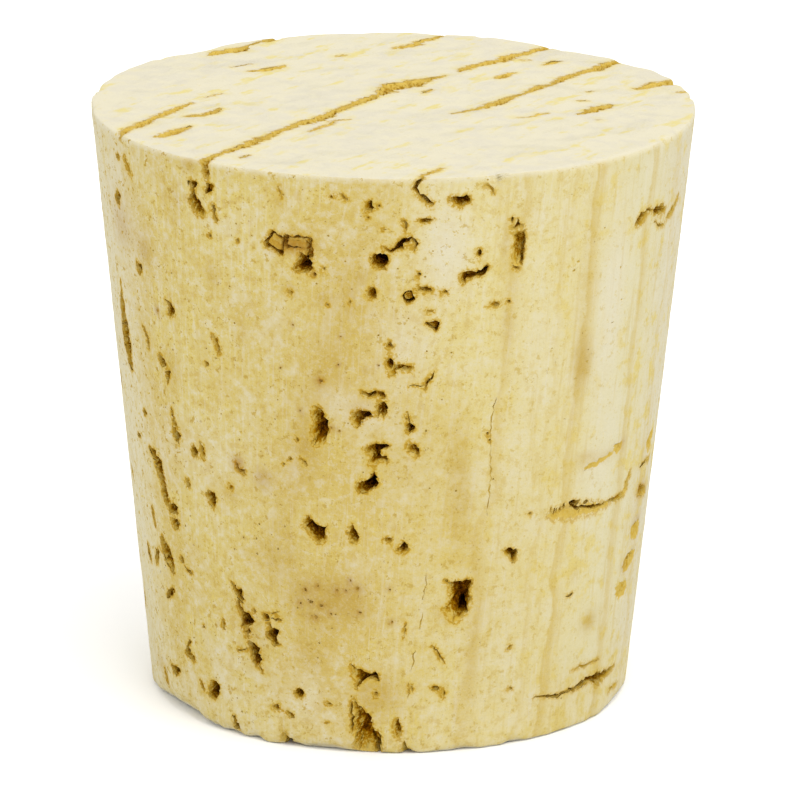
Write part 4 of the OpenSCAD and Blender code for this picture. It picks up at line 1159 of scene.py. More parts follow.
@dataclass(frozen=True)
class Field:
    """A node's output that Python's operators work on, by adding Math nodes to its graph.

    Args:
        graph: The graph that it belongs to.
        socket: The output.
    """

    graph: "Graph"
    socket: bpy.types.NodeSocket

    def __add__(self, other: Any) -> "Field":
        """Sum."""
        return self.graph.math("ADD", self, other)

    def __radd__(self, other: float) -> "Field":
        """Sum, from the left."""
        return self.graph.math("ADD", other, self)

    def __sub__(self, other: Any) -> "Field":
        """Difference."""
        return self.graph.math("SUBTRACT", self, other)

    def __rsub__(self, other: float) -> "Field":
        """Difference, from the left."""
        return self.graph.math("SUBTRACT", other, self)

    def __mul__(self, other: Any) -> "Field":
        """Product."""
        return self.graph.math("MULTIPLY", self, other)

    def __rmul__(self, other: float) -> "Field":
        """Product, from the left."""
        return self.graph.math("MULTIPLY", other, self)

    def __truediv__(self, other: Any) -> "Field":
        """Quotient."""
        return self.graph.math("DIVIDE", self, other)

    def __pow__(self, other: float) -> "Field":
        """Power."""
        return self.graph.math("POWER", self, other)

    def __abs__(self) -> "Field":
        """Size without its sign."""
        return self.graph.math("ABSOLUTE", self)

    def smooth(self, start: float, end: float) -> "Field":
        """Rises gently from 0 to 1 as the value goes from start to end.

        Args:
            start: Value at which it is 0.
            end: Value at which it is 1, which may lie below start.

        Returns:
            The risen value.
        """
        low, high = (0.0, 1.0) if start < end else (1.0, 0.0)
        return self.graph.field("ShaderNodeMapRange", "Result", {"interpolation_type": "SMOOTHSTEP"},
                                {"Value": self, "From Min": min(start, end), "From Max": max(start, end),
                                 "To Min": low, "To Max": high})


class Graph:
    """Adds nodes to a node tree."""

    def __init__(self, tree: bpy.types.NodeTree) -> None:
        """Empties the tree and keeps it."""
        tree.nodes.clear()
        self.tree = tree

    def node(self, kind: str, settings: dict[str, Any] | None = None,
             sockets: dict[str, Any] | None = None) -> bpy.types.Node:
        """Adds a node.

        Args:
            kind: The node's type.
            settings: Its settings, among them a ramp's stops as pairs of place and colour.
            sockets: The value, link or list of links of each input, by the input's identifier.

        Returns:
            The node.
        """
        node = self.tree.nodes.new(kind)
        for name, value in (settings or {}).items():
            if name == "stops":
                elements = node.color_ramp.elements
                for _ in range(len(value) - len(elements)):
                    elements.new(1.0)
                for element, (position, colour) in zip(elements, value):
                    element.position = position
                    element.color = colour
            else:
                setattr(node, name, value)
        for name, value in (sockets or {}).items():
            entry = next(entry for entry in node.inputs if entry.identifier == name)
            for part in value if isinstance(value, list) else [value]:
                if isinstance(part, Field):
                    self.tree.links.new(part.socket, entry)
                else:
                    entry.default_value = part
        return node

    def field(self, kind: str, output: str, settings: dict[str, Any] | None = None,
              sockets: dict[str, Any] | None = None) -> Field:
        """Adds a node and takes one of its outputs.

        Args:
            kind: The node's type.
            output: Identifier of the output.
            settings: Its settings.
            sockets: The value or link of each input.

        Returns:
            The output as a field.
        """
        node = self.node(kind, settings, sockets)
        return Field(self, next(socket for socket in node.outputs if socket.identifier == output))

    def math(self, operation: str, *values: Any) -> Field:
        """Adds a Math node with an operation and its inputs."""
        sockets = dict(zip(("Value", "Value_001"), values))
        return self.field("ShaderNodeMath", "Value", {"operation": operation}, sockets)

    def vector(self, operation: str, *values: Any) -> Field:
        """Adds a Vector Math node.

        Args:
            operation: Its operation.
            values: Its inputs, with the factor second where it scales.

        Returns:
            Its result.
        """
        names = ("Vector", "Scale" if operation == "SCALE" else "Vector_001")
        output = "Value" if operation == "DOT_PRODUCT" else "Vector"
        return self.field("ShaderNodeVectorMath", output, {"operation": operation}, dict(zip(names, values)))

    def noise(self, where: Field, scale: float, detail: float = 2.0, rough: float = 0.5,
              output: str = "Fac") -> Field:
        """Adds a noise around 0.5, with scale in waves for each mm, as a value (Fac) or a vector (Color)."""
        return self.field("ShaderNodeTexNoise", output, {},
                          {"Vector": where, "Scale": scale, "Detail": detail, "Roughness": rough})

    def mix(self, share: Any, first: Any, second: Any) -> Field:
        """Mixes a share of a second colour into a first one."""
        sockets = {"Factor_Float": share, "A_Color": first, "B_Color": second}
        return self.field("ShaderNodeMix", "Result_Color", {"data_type": "RGBA"}, sockets)

    def layered(self, colour: Any, *layers: tuple[Any, Any]) -> Any:
        """Lays colours over a colour, one after the other.

        Args:
            colour: The colour below.
            layers: The share and the colour of each layer.

        Returns:
            The colour on top.
        """
        for share, layer in layers:
            colour = self.mix(share, colour, layer)
        return colour

    def ramp(self, stops: Any, place: Field) -> Field:
        """Looks a place up on a ramp whose stops are pairs of place and colour."""
        return self.field("ShaderNodeValToRGB", "Color", {"stops": stops}, {"Fac": place})


class Recipe(Graph):
    """A Geometry Nodes tree with named inputs and the values that its modifier gets for them."""

    def __init__(self, name: str) -> None:
        """Starts an empty tree."""
        super().__init__(bpy.data.node_groups.new(name, "GeometryNodeTree"))
        self.entry = self.node("NodeGroupInput")
        self.values: dict[str, Any] = {}

    def input(self, name: str, kind: str, value: Any = None) -> Field:
        """Adds a named input.

        Args:
            name: Its name.
            kind: Its kind of socket, without the leading words that all kinds share.
            value: What the modifier gets for it.

        Returns:
            The input as a field.
        """
        socket = self.tree.interface.new_socket(name, in_out="INPUT", socket_type=f"NodeSocket{kind}")
        if value is not None:
            self.values[socket.identifier] = value
        return Field(self, self.entry.outputs[name])

    def pushed(self, mesh: Field, way: Field, far: Field) -> Field:
        """Moves each point of a mesh along a vector of its own, times a length."""
        offset = self.vector("SCALE", way, far)
        return self.field("GeometryNodeSetPosition", "Geometry", {}, {"Geometry": mesh, "Offset": offset})

    def marked(self, mesh: Field, target: Field, name: str) -> Field:
        """Stores the distance in mm from each point of a mesh to a target, under a name."""
        away = self.field("GeometryNodeProximity", "Distance", {"target_element": "FACES"},
                          {"Target": target})
        return self.field("GeometryNodeStoreNamedAttribute", "Geometry",
                          {"data_type": "FLOAT", "domain": "POINT"},
                          {"Geometry": mesh, "Name": name, "Value": away / MM})

    def cook(self, piece: bpy.types.Object, result: Field) -> bpy.types.Mesh:
        """Runs the tree on a piece.

        Args:
            piece: The piece that it starts from.
            result: The geometry that comes out.

        Returns:
            A plain mesh.
        """
        self.tree.interface.new_socket("Geometry", in_out="OUTPUT", socket_type="NodeSocketGeometry")
        self.tree.links.new(result.socket, self.node("NodeGroupOutput").inputs[0])
        modifier = piece.modifiers.new(self.tree.name, "NODES")
        modifier.node_group = self.tree
        for identifier, value in self.values.items():
            modifier[identifier] = value
        mesh = bpy.data.meshes.new_from_object(piece.evaluated_get(bpy.context.evaluated_depsgraph_get()))
        piece.modifiers.remove(modifier)
        return mesh


@dataclass(frozen=True)
class Carving:
    """Wears the blank, cuts the pores into it and marks how deep and how near to a pore each point lies.

    Args:
        taper: The cone.
        wear: Height of the unevenness of the skin, in mm.
        ragged: Unevenness of the cutters, in mm.
        pore_gap: Least distance between fine pores, in mm.
        pore_r: Radius of the largest fine pores, in mm.
        seed: Seed of the fine pores.
    """

    taper: Taper
    wear: float = 0.05
    ragged: float = 0.22
    pore_gap: float = 0.9
    pore_r: float = 0.09
    seed: int = 11
    # Waves in each mm of the skin's unevenness, of the cutters' and of the crowds of fine pores
    BROAD_WAVES = 0.55
    FINE_WAVES = 2.2
    CUTTER_WAVES = 3.2
    CROWD_WAVES = 0.3
    # Values of the noise from which and to which the skin sinks, and the fine pores crowd
    SWELL = (0.3, 1.2)
    CROWDED = (0.48, 0.68)
    # Greatest count of fine pores on a square metre, and share of the largest radius that the least one has
    DENSEST = 1e7
    SMALLEST = 0.3

    def run(self, blank: bpy.types.Object, pores: list[bpy.types.Object], marks: list[bpy.types.Object],
            cork: bpy.types.Material) -> bpy.types.Mesh:
        """Carves the blank.

        Args:
            blank: The blank.
            pores: The sets of cutters that open the pores, which get a halo.
            marks: The sets of cutters of dots and fine lines, which get none.
            cork: The material.

        Returns:
            The carved mesh, with the attributes sunk and halo in mm.
        """
        recipe = Recipe("carve_cork")
        body = recipe.input("Blank", "Geometry")
        sets = [recipe.input(f"Cutters {index}", "Object", cutters)
                for index, cutters in enumerate((*pores, *marks))]
        wear = recipe.input("Wear", "Float", self.wear * MM)
        ragged = recipe.input("Raggedness", "Float", self.ragged * MM)
        gap = recipe.input("Pore Gap", "Float", self.pore_gap * MM)
        largest = recipe.input("Pore Radius", "Float", self.pore_r * MM)
        seed = recipe.input("Seed", "Int", self.seed)
        finish = recipe.input("Cork", "Material", cork)
        position = recipe.field("GeometryNodeInputPosition", "Position")
        normal = recipe.field("GeometryNodeInputNormal", "Normal")
        place = recipe.vector("SCALE", position, 1 / MM)
        uneven = recipe.noise(place, self.BROAD_WAVES) + 0.5 * recipe.noise(place, self.FINE_WAVES)
        swell = -1 * uneven.smooth(*self.SWELL) * wear
        worn = recipe.pushed(body, normal, swell)
        rags = recipe.noise(place, self.CUTTER_WAVES, output="Color")
        push = recipe.vector("SUBTRACT", rags, (0.5, 0.5, 0.5))
        tools = []
        for chosen in sets:
            tool = recipe.field("GeometryNodeObjectInfo", "Geometry", {}, {"Object": chosen})
            tools.append(recipe.pushed(tool, push, ragged))
        large = recipe.field("GeometryNodeJoinGeometry", "Geometry", {}, {"Geometry": tools[:len(pores)]})
        tools.append(self.fine_pores(recipe, worn, place, normal, gap, largest, seed))
        carved = recipe.field("GeometryNodeMeshBoolean", "Mesh",
                              {"operation": "DIFFERENCE", "solver": "MANIFOLD"},
                              {"Mesh 1": worn, "Mesh 2": tools})
        carved = recipe.marked(recipe.marked(carved, worn, "sunk"), large, "halo")
        smooth = recipe.field("GeometryNodeSetShadeSmooth", "Geometry", {}, {"Geometry": carved})
        real = recipe.field("GeometryNodeRealizeInstances", "Geometry", {}, {"Geometry": smooth})
        dressed = recipe.field("GeometryNodeSetMaterial", "Geometry", {},
                               {"Geometry": real, "Material": finish})
        return recipe.cook(blank, dressed)

    def fine_pores(self, recipe: Recipe, skin: Field, place: Field, normal: Field, gap: Field, largest: Field,
                   seed: Field) -> Field:
        """Scatters small round cutters over the skin in crowds, most of them where the grain comes out.

        Args:
            recipe: The tree.
            skin: The worn blank.
            place: The skin's places, in mm.
            normal: The skin's normal.
            gap: Least distance between them.
            largest: Largest radius.
            seed: Seed of the scatter.

        Returns:
            The cutters.
        """
        facing = abs(recipe.vector("DOT_PRODUCT", normal, tuple(self.taper.grain)))
        crowded = recipe.noise(place, self.CROWD_WAVES, 1).smooth(*self.CROWDED)
        points = recipe.field("GeometryNodeDistributePointsOnFaces", "Points",
                              {"distribute_method": "POISSON"},
                              {"Mesh": skin, "Distance Min": gap, "Density Max": self.DENSEST,
                               "Density Factor": crowded * facing ** 3, "Seed": seed})
        ball = recipe.field("GeometryNodeMeshIcoSphere", "Mesh", {}, {"Radius": 1.0, "Subdivisions": 1})
        size = recipe.field("FunctionNodeRandomValue", "Value_001", {},
                            {"Min_001": self.SMALLEST, "Max_001": 1.0, "Seed": seed})
        placed = recipe.field("GeometryNodeInstanceOnPoints", "Instances", {},
                              {"Points": points, "Instance": ball, "Scale": size * largest})
        return recipe.field("GeometryNodeRealizeInstances", "Geometry", {}, {"Geometry": placed})


def tone(red: int, green: int, blue: int) -> tuple[float, float, float, float]:
    """Turns a colour as it looks in the studio's light into the cork's own colour, by the sRGB curve.

    Args:
        red: Red, from 0 to 255.
        green: Green, from 0 to 255.
        blue: Blue, from 0 to 255.

    Returns:
        The linear colour.
    """
    parts = (value / 255 for value in (red, green, blue))
    linear = [part / 12.92 if part <= 0.04045 else ((part + 0.055) / 1.055) ** 2.4 for part in parts]
    return tuple(part / LIGHT_GAIN for part in linear) + (1.0,)


@dataclass(frozen=True)
class Ring:
    """A growth ring: a plane of darker cork that stands square to the pores.

    Args:
        along: Where it crosses the axis of the pores, in mm.
        fade: How far it fades out, in mm.
        strength: How dark it is, from 0 to 1.
    """

    along: float
    fade: float
    strength: float


# Growth rings, from the front left to the back right
RINGS = (
    Ring(-16.0, 1.4, 0.35), Ring(-9.9, 0.6, 0.75), Ring(-6.6, 0.5, 0.35), Ring(-4.7, 0.9, 0.8),
    Ring(0.5, 1.0, 0.6), Ring(4.4, 0.9, 0.4), Ring(8.0, 0.9, 0.35), Ring(9.4, 0.25, 0.9),
    Ring(12.1, 0.8, 0.5), Ring(15.6, 1.2, 0.4),
)


class Pattern:
    """The fields over the cork that its colours and its relief are made of, with lengths in mm."""

    SCRATCH_LEAN = -0.003
    RING_REACH = 20.0
    RING_EDGE = 0.12

    def __init__(self, graph: Graph, taper: Taper) -> None:
        """Adds the fields.

        Args:
            graph: The material's graph.
            taper: The cone.
        """
        self.graph = graph
        self.place = graph.vector("SCALE", graph.field("ShaderNodeTexCoord", "Object"), 1 / MM)
        self.along = graph.vector("DOT_PRODUCT", self.place, tuple(taper.grain))
        self.across = graph.vector("DOT_PRODUCT", self.place, tuple(taper.across))
        self.height = graph.field("ShaderNodeSeparateXYZ", "Z", {}, {"Vector": self.place})
        self.radius = (self.along * self.along + self.across * self.across) ** 0.5
        self.facing = abs(self.along) / self.radius
        self.sunk = graph.field("ShaderNodeAttribute", "Fac", {"attribute_name": "sunk"})
        self.halo = graph.field("ShaderNodeAttribute", "Fac", {"attribute_name": "halo"})
        self.stains = {tint: graph.field("ShaderNodeAttribute", "Fac", {"attribute_name": tint.value})
                       for tint in Tint}
        self.inside = taper.top_r - self.radius
        below = taper.length - self.height
        # Painted highlight: a pale band on the wall just below the top rim
        self.rim_highlight = below.smooth(0.5, 0.1)
        self.grooved = below.smooth(1.6, 0.8) * self.inside.smooth(0.4, 1.2)
        # How much painted shade the pores get, which also sets the strength of the fringe round them: less
        # near the ends, where light falls into the grooves, and where the wall grazes the grain
        middle = taper.length / 2
        near_end = abs(self.height - middle).smooth(middle - 1.6, middle - 0.6)
        self.shade_and_fringe_share = (1 - 0.55 * near_end) * (0.5 + 0.5 * self.facing.smooth(0.35, 0.75))
        normal = graph.field("ShaderNodeTexCoord", "Normal")
        upright = abs(graph.field("ShaderNodeSeparateXYZ", "Z", {}, {"Vector": normal}))
        self.end = upright.smooth(0.5, 0.9) * self.sunk.smooth(0.08, 0.02)
        self.broad = graph.noise(self.place, 0.22, 3)
        self.patchy = graph.noise(self.place, 0.9, 5, 0.62)
        self.mottled = self.patchy + 0.5 * (self.broad - 0.5)
        self.crumbs = graph.noise(self.place, 2.6, 4, 0.65)
        self.grit = graph.noise(self.place, 5.5, 3, 0.65)
        self.fibres = self.stretched(self.along, 0.05 * self.across, 0.05 * self.height, 3.0)
        self.marbled = graph.noise(self.place, 1.7, 4, 0.7)
        self.lumps = graph.noise(self.place, 3.8, 2, 0.6)
        self.wisps = self.stretched(0.3 * self.along, self.across, self.height, 0.9)
        self.waves = graph.noise(self.place, 0.3, 1)
        self.scratches = self.scratched(taper)
        self.rings = self.ringed()

    def stretched(self, first: Field, second: Field, third: Field, scale: float) -> Field:
        """Adds a noise around 0.5 on three coordinates, with a scale in waves for each unit of them."""
        where = self.graph.field("ShaderNodeCombineXYZ", "Vector", {}, {"X": first, "Y": second, "Z": third})
        return self.graph.noise(where, scale, 3, 0.6)

    def scratched(self, taper: Taper) -> Field:
        """Adds the fine lines that turning left down the wall, leaning a little.

        Args:
            taper: The cone.

        Returns:
            The noise, around 0.5.
        """
        girth = taper.radius(taper.length / 2)
        lean = self.SCRATCH_LEAN * self.height
        first = (self.along - self.across * lean) / self.radius * girth
        second = (self.across + self.along * lean) / self.radius * girth
        return self.stretched(first, second, 0.03 * self.height, 5.0)

    def ringed(self) -> Field:
        """Adds the growth rings, each with a sharp edge and a side that fades, on a slightly wavy course."""
        reach = self.RING_REACH
        stops = [(-reach, 0.0)]
        for ring in RINGS:
            stops += [(ring.along - self.RING_EDGE, 0.0), (ring.along, ring.strength),
                      (ring.along + ring.fade, 0.0)]
        grey = [((along + reach) / (2 * reach), (value, value, value, 1.0)) for along, value in stops]
        wave = 2.2 * self.broad + 0.5 * self.patchy - 1.35
        return self.graph.ramp(grey, (self.along + wave + reach) / (2 * reach))


@dataclass(frozen=True)
class CorkFinish:
    """The cork: pale on the ends, warm and ringed on the wall, speckled brown in the pores, with painted
    sheen, highlight, light and shade in places.

    Each layer of colour has a share, from 0 to 1, and smooth() says between which values it comes in.

    Args:
        taper: The cone that it covers.
    """

    taper: Taper
    WALL = ((0.0, tone(231, 222, 180)), (0.25, tone(231, 218, 164)), (0.7, tone(232, 216, 148)),
            (0.82, tone(228, 209, 138)), (0.91, tone(219, 193, 106)), (1.0, tone(226, 206, 130)))
    # Painted sheen: a paler, greyer tone on the left flank, partly the cork's own tone there and partly the
    # pale look of a surface seen at a grazing angle
    LEFT_TONE_AND_SHEEN = tone(228, 216, 172)
    # Painted sheen: a whitish veil on the left and right flanks, where the wall is seen at a grazing angle
    SHEEN_VEIL = tone(236, 230, 206)
    # Painted sheen: greyer, paler cork at the edge of the right flank
    RIGHT_EDGE_SHEEN = tone(226, 220, 200)
    # Painted light: paler cork near the base, which lifts the shade that falls near the floor
    PAINTED_FOOT_LIGHT = tone(242, 228, 176)
    END = tone(240, 232, 204)
    CHALK = tone(232, 225, 205)
    PALE = tone(236, 229, 203)
    YELLOW = tone(230, 209, 122)
    WISP = tone(240, 224, 150)
    OCHRE = tone(216, 188, 104)
    STAINS = {Tint.OCHRE: tone(201, 168, 80), Tint.PALE: tone(236, 229, 205)}
    BROWN = tone(172, 122, 50)
    FRINGE = tone(222, 190, 84)
    CRUST = tone(192, 150, 44)
    # Painted highlight: pale gold on the lit walls of the end grooves
    GROOVE_HIGHLIGHT = tone(250, 216, 108)
    FLECK = tone(192, 156, 66)
    SPECK = tone(160, 122, 50)
    # Pore colours by depth: gold and brown tissue, the darker stops partly painted shade that deepens down
    # the pore
    DEPTH_TONES_AND_SHADE = ((0.0, tone(223, 194, 102)), (0.07, tone(212, 174, 66)), (0.25, tone(188, 136, 6)),
              (0.42, tone(160, 100, 0)), (0.6, tone(112, 62, 0)), (0.85, tone(60, 29, 0)))
    # Dark brown of the fine lines in the pores, and painted shade in the deeper parts of the end grooves
    DARK_LINE_AND_SHADE = tone(86, 46, 0)
    CRUMB = tone(230, 194, 80)
    # Depth in mm at the end of the ramp of pore tissue and painted shade
    DEEPEST = 1.5
    # Heights of the relief, in mm
    GRIT_RELIEF = 0.05
    CRUMB_RELIEF = 0.03
    LUMP_RELIEF = 0.18
    WAVE_RELIEF = 1.2
    WISP_RELIEF = 0.15
    # Strength of the relief, and roughness without grit and added by it
    BUMP = 0.9
    ROUGHNESS = 0.75
    GRIT_ROUGHNESS = 0.2

    def build(self) -> bpy.types.Material:
        """Makes the material."""
        cork = bpy.data.materials.new("cork")
        cork.use_nodes = True
        graph = Graph(cork.node_tree)
        fields = Pattern(graph, self.taper)
        skin = graph.mix(fields.end, self.wall(fields), self.ends(fields))
        for tint, colour in self.STAINS.items():
            skin = graph.mix(fields.stains[tint] * (0.25 + 1.1 * fields.patchy), skin, colour)
        skin = self.fringed(fields, self.speckled(fields, skin))
        colour = graph.mix(fields.sunk.smooth(0.01, 0.04), skin, self.hollow(fields))
        colour = graph.mix(fields.stains[Tint.BROWN] * (0.3 + 1.0 * fields.patchy), colour, self.BROWN)
        bump = graph.field("ShaderNodeBump", "Normal", {},
                           {"Strength": self.BUMP, "Distance": MM, "Height": self.relief(fields)})
        rough = self.ROUGHNESS + self.GRIT_ROUGHNESS * fields.grit
        shader = graph.field("ShaderNodeBsdfPrincipled", "BSDF", {},
                             {"Base Color": colour, "Roughness": rough, "Normal": bump,
                              "Specular IOR Level": 0.0})
        graph.node("ShaderNodeOutputMaterial", {}, {"Surface": shader})
        return cork

    def relief(self, fields: Pattern) -> Field:
        """Works out the height of the fine relief: grit all over, lumps in the pores and waves on the ends.

        Args:
            fields: The pattern's fields.

        Returns:
            The height, in mm.
        """
        grit = self.GRIT_RELIEF * fields.grit + self.CRUMB_RELIEF * fields.crumbs
        lumps = fields.sunk.smooth(0.05, 0.3) * (self.LUMP_RELIEF * fields.lumps)
        waves = self.WAVE_RELIEF * (fields.waves - 0.5) + self.WISP_RELIEF * (fields.wisps - 0.5)
        return grit + lumps + fields.end * fields.inside.smooth(0.4, 2.0) * waves

    def wall(self, fields: Pattern) -> Field:
        """Colours the turned wall, with blotches, growth rings, fibres and scratches, painted sheen on the
        flanks, painted light near the base and a painted highlight below the top rim.

        Args:
            fields: The pattern's fields.

        Returns:
            The colour.
        """
        # Masks of the painted sheen on the right flank
        right_silhouette_sheen = fields.across.smooth(-11.0, -16.0) * fields.along.smooth(0.0, 6.0)
        right_flank_sheen = fields.along.smooth(3.0, 7.0) * fields.along.smooth(16.0, 11.0)
        ringed = fields.rings * (1 - fields.facing ** 4) * (0.4 + 0.8 * fields.patchy)
        scored = fields.facing.smooth(0.5, 0.9) * fields.broad.smooth(0.4, 0.55)
        return fields.graph.layered(
            fields.graph.ramp(self.WALL, fields.facing + 0.3 * (fields.broad - 0.5)),
            # Painted sheen on the left flank, partly the cork's own paler tone
            (0.7 * fields.across.smooth(3.0, 15.0) * fields.facing, self.LEFT_TONE_AND_SHEEN),
            (0.5 * fields.across.smooth(6.0, 14.0), self.SHEEN_VEIL),
            (0.7 * right_silhouette_sheen, self.RIGHT_EDGE_SHEEN),
            # Painted light near the base
            (0.4 * fields.height.smooth(5.0, 0.5), self.PAINTED_FOOT_LIGHT),
            (0.3 * fields.mottled.smooth(0.48, 0.32), self.PALE),
            (0.8 * fields.mottled.smooth(0.52, 0.68), self.YELLOW),
            (0.85 * fields.marbled.smooth(0.53, 0.62) * fields.facing, self.OCHRE),
            (0.45 * fields.marbled.smooth(0.49, 0.38) * fields.facing, self.PALE),
            (ringed, self.OCHRE),
            (0.3 * fields.fibres.smooth(0.54, 0.68), self.OCHRE),
            (0.3 * fields.fibres.smooth(0.44, 0.32), self.PALE),
            # More painted sheen on the left and right flanks
            (0.35 * fields.across.smooth(6.5, 11.0), self.SHEEN_VEIL),
            (0.25 * right_flank_sheen, self.SHEEN_VEIL),
            (0.3 * fields.scratches.smooth(0.52, 0.66) * scored, self.PALE),
            (0.25 * fields.scratches.smooth(0.46, 0.34) * scored, self.OCHRE),
            # Painted highlight just below the top rim, in the ends' colour
            (0.6 * fields.rim_highlight * (0.4 + 1.2 * fields.patchy), self.END))

    def ends(self, fields: Pattern) -> Field:
        """Colours the cut ends, with chalky blotches and yellow wisps."""
        wispy = (fields.wisps + 0.5 * (fields.patchy - 0.5)).smooth(0.54, 0.7)
        return fields.graph.layered(
            self.END,
            (0.6 * fields.mottled.smooth(0.56, 0.36), self.CHALK),
            (0.9 * wispy * fields.broad.smooth(0.35, 0.55), self.WISP),
            (0.5 * fields.halo.smooth(0.9, 0.1) * fields.patchy.smooth(0.4, 0.6), self.WISP))

    def speckled(self, fields: Pattern, skin: Field) -> Field:
        """Adds yellow flecks and fine brown specks.

        Args:
            fields: The pattern's fields.
            skin: The colour so far.

        Returns:
            The colour.
        """
        left = 0.85 + 0.5 * fields.across.smooth(2.0, 9.0)
        rich = (1 - fields.end) * (0.25 + 0.75 * fields.facing) * left
        flecks = (fields.crumbs + 0.35 * fields.patchy).smooth(0.78, 0.84)
        specks = (fields.grit + 0.35 * fields.patchy).smooth(0.84, 0.89)
        return fields.graph.layered(
            skin,
            (0.2 * fields.grit.smooth(0.5, 0.35) * rich, self.PALE),
            (0.7 * fields.crumbs.smooth(0.58, 0.64) * rich, self.YELLOW),
            (0.75 * flecks * rich, self.FLECK),
            (0.8 * specks * rich, self.SPECK))

    def fringed(self, fields: Pattern, skin: Field) -> Field:
        """Adds the crumbly ochre that lies round each pore's mouth.

        Args:
            fields: The pattern's fields.
            skin: The colour so far.

        Returns:
            The colour.
        """
        near = fields.halo.smooth(0.32, 0.0)
        crumbly = (0.5 * fields.lumps + 0.5 * fields.grit + 0.16 * near).smooth(0.6, 0.68)
        crusty = fields.halo.smooth(0.22, 0.0) * fields.shade_and_fringe_share
        return fields.graph.layered(
            skin,
            (0.5 * near * fields.shade_and_fringe_share, self.FRINGE),
            (0.7 * crumbly * fields.shade_and_fringe_share, self.FRINGE),
            (0.9 * crumbly * crusty, self.CRUST))

    def hollow(self, fields: Pattern) -> Field:
        """Colours the inside of the pores: crumbly gold and brown tissue that darkens with depth, partly as
        painted shade, with painted highlight and shade in the end grooves, crossed by dark lines.

        Args:
            fields: The pattern's fields.

        Returns:
            The colour.
        """
        # Depth that picks the ramp's colour, so the pores get painted shade that deepens inwards, roughened
        # by noise
        uneven = (0.6 + 1.8 * fields.shade_and_fringe_share) * (fields.lumps - 0.5) + 0.8 * (fields.crumbs - 0.5)
        depth = fields.sunk * fields.shade_and_fringe_share + uneven * fields.sunk.smooth(0.0, 0.3)
        lines = abs(fields.lumps - 0.52).smooth(0.05, 0.01) * fields.shade_and_fringe_share
        pale = (0.5 * fields.grit + 0.5 * fields.lumps).smooth(0.56, 0.64) * fields.sunk.smooth(1.1, 0.1)
        grain = 0.6 * fields.lumps + 0.4 * fields.grit + 0.2 * fields.sunk
        return fields.graph.layered(
            fields.graph.ramp(self.DEPTH_TONES_AND_SHADE, depth / self.DEEPEST),
            (0.35 * lines * fields.sunk.smooth(0.05, 0.25), self.DARK_LINE_AND_SHADE),
            (0.5 * pale, self.CRUMB),
            # Painted shade and highlight in the end grooves: dark brown at deeper, rougher spots, pale gold
            # elsewhere
            (0.5 * fields.grooved * grain.smooth(0.62, 0.72), self.DARK_LINE_AND_SHADE),
            (0.55 * fields.grooved * grain.smooth(0.64, 0.54), self.GROOVE_HIGHLIGHT))


@dataclass(frozen=True)
class Stopper:
    """The whole stopper: one piece of cork, turned, worn and crossed by pores.

    Args:
        taper: The cone.
        sharp: Angle in degrees past which an edge stays sharp.
    """

    taper: Taper
    sharp: float = 38.0
    RIMS = {End.TOP: Rim(End.TOP, plain=0.16, seed=5), End.BASE: Rim(End.BASE, plain=0.3, seed=8)}
    STAIN_FALL = 4
    CLEAN_EDGE = 0.1

    def stained(self, mesh: bpy.types.Mesh) -> None:
        """Stores the strength of each kind of stain at each point of the wall.

        Args:
            mesh: The carved mesh.
        """
        places = np.empty(len(mesh.vertices) * 3)
        mesh.vertices.foreach_get("co", places)
        x, y, z = places.reshape(-1, 3).T / MM
        bearing = np.degrees(np.arctan2(x, -y))
        for tint in Tint:
            strength = np.zeros(len(x))
            for stain in STAINS[tint]:
                lean = math.radians(stain.lean)
                right = ((bearing - stain.bearing + 180) % 360 - 180) * math.radians(1) * np.hypot(x, y)
                up = z - stain.height
                sideways = (right * math.cos(lean) + up * math.sin(lean)) / stain.wide
                endways = (up * math.cos(lean) - right * math.sin(lean)) / stain.tall
                strength += stain.strength * np.exp(-self.STAIN_FALL * (sideways ** 2 + endways ** 2))
            strength *= abs(z - self.taper.length / 2) < self.taper.length / 2 - self.CLEAN_EDGE
            layer = mesh.attributes.new(tint.value, "FLOAT", "POINT")
            layer.data.foreach_set("value", np.minimum(strength, 1.0))

    def build(self) -> bpy.types.Object:
        """Makes the stopper in its place."""
        blank = Blank(self.taper, self.RIMS).build()
        LOG.info("blank: %d faces", len(blank.data.polygons))
        carver = Carver(self.taper)
        pores, marks = carver.pores(), carver.marks()
        mesh = Carving(self.taper).run(blank, pores, marks, CorkFinish(self.taper).build())
        for scrap in (blank, *pores, *marks):
            bpy.data.objects.remove(scrap)
        mesh.set_sharp_from_angle(angle=math.radians(self.sharp))
        self.stained(mesh)
        LOG.info("carved stopper: %d triangles", sum(len(face.vertices) - 2 for face in mesh.polygons))
        return linked("cork_stopper", mesh)


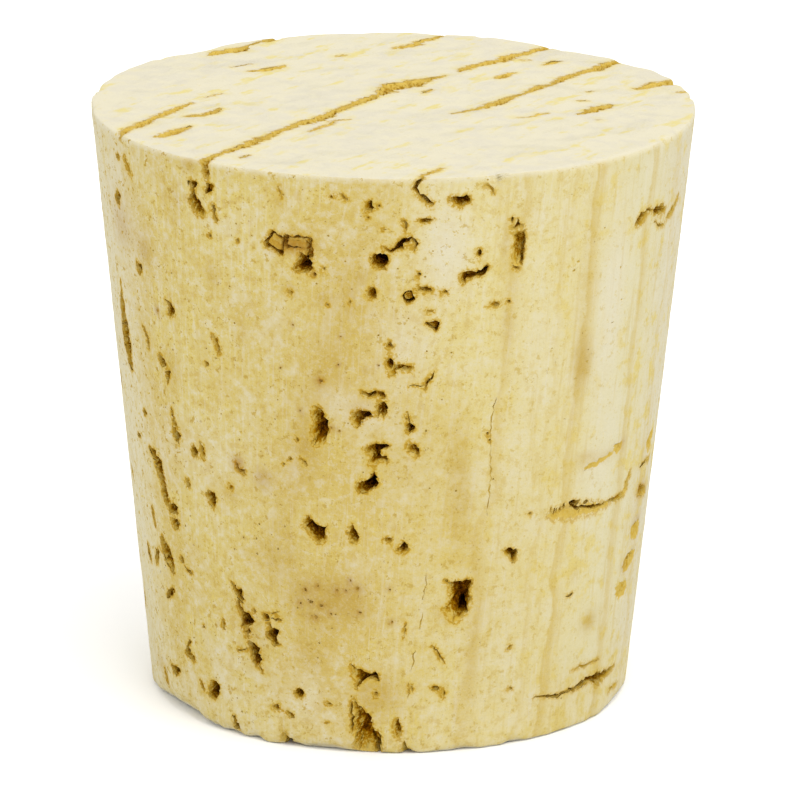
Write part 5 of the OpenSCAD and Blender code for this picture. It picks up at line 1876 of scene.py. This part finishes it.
@dataclass(frozen=True)
class Studio:
    """A white floor, even soft light and a camera that looks a little down on the stopper.

    Args:
        lens: Focal length in mm.
        pitch: Degrees that the camera looks down.
        roll: Degrees that the camera is turned about its own axis.
        distance: Distance from the aim to the camera, in m.
        aim: What the camera looks at, in mm.
        floor_half: Half of the floor's side, in m.
        surround: Strength of the white surround.
    """

    lens: float = 315.0
    pitch: float = 16.4
    roll: float = 0.46
    distance: float = 0.445
    aim: tuple[float, float, float] = (0.56, 0.0, 18.5)
    floor_half: float = 3.0
    surround: float = 1.17
    SENSOR = 36.0
    FARTHEST = 10.0
    WHITE = (1.0, 1.0, 1.0, 1.0)
    FLOOR = (0.95, 0.95, 0.95, 1.0)
    KEY_PLACE = (0.35, -0.6, 1.25)
    KEY_POWER = 8.2
    KEY_SIZE = 0.9

    def build(self) -> None:
        """Makes the floor, the light and the camera."""
        self.floor()
        self.light()
        self.camera()

    def floor(self) -> None:
        """Lays the floor."""
        half = self.floor_half / MM
        corners = np.array([(-half, -half, 0), (half, -half, 0), (half, half, 0), (-half, half, 0)])
        floor = solid("floor", corners, [(0, 1, 2, 3)])
        paint = bpy.data.materials.new("white_floor")
        paint.use_nodes = True
        graph = Graph(paint.node_tree)
        shader = graph.field("ShaderNodeBsdfDiffuse", "BSDF", {}, {"Color": self.FLOOR})
        graph.node("ShaderNodeOutputMaterial", {}, {"Surface": shader})
        floor.data.materials.append(paint)

    def light(self) -> None:
        """Sets an even white surround and one weak soft key."""
        world = bpy.data.worlds.new("white_surround")
        bpy.context.scene.world = world
        world.use_nodes = True
        graph = Graph(world.node_tree)
        glow = graph.field("ShaderNodeBackground", "Background", {},
                           {"Color": self.WHITE, "Strength": self.surround})
        graph.node("ShaderNodeOutputWorld", {}, {"Surface": glow})
        lamp = bpy.data.lights.new("soft_key", "AREA")
        lamp.energy = self.KEY_POWER
        lamp.size = self.KEY_SIZE
        holder = linked("soft_key", lamp)
        holder.location = self.KEY_PLACE
        holder.rotation_euler = Vector(self.KEY_PLACE).to_track_quat("Z", "Y").to_euler()
        bpy.context.scene.view_settings.view_transform = "Standard"

    def camera(self) -> None:
        """Places the camera."""
        lens = bpy.data.cameras.new("camera")
        lens.sensor_width = self.SENSOR
        lens.lens = self.lens
        lens.clip_end = self.FARTHEST
        holder = linked("camera", lens)
        pitch = math.radians(self.pitch)
        back = Vector((0.0, -math.cos(pitch), math.sin(pitch)))
        holder.location = Vector(self.aim) * MM + back * self.distance
        turned = back.to_track_quat("Z", "Y").to_matrix() @ Matrix.Rotation(math.radians(self.roll), 3, "Z")
        holder.rotation_euler = turned.to_euler()
        bpy.context.scene.camera = holder


def main() -> None:
    """Builds the stopper and the studio round it."""
    logging.basicConfig(level=logging.INFO, format="%(name)s: %(message)s")
    stopper = Stopper(Taper.from_frame()).build()
    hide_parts(STOPPER)
    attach(stopper, "root")
    LOG.info("piece %s made", stopper.name)
    Studio().build()
    LOG.info("studio set")


if __name__ == "__main__":
    main()
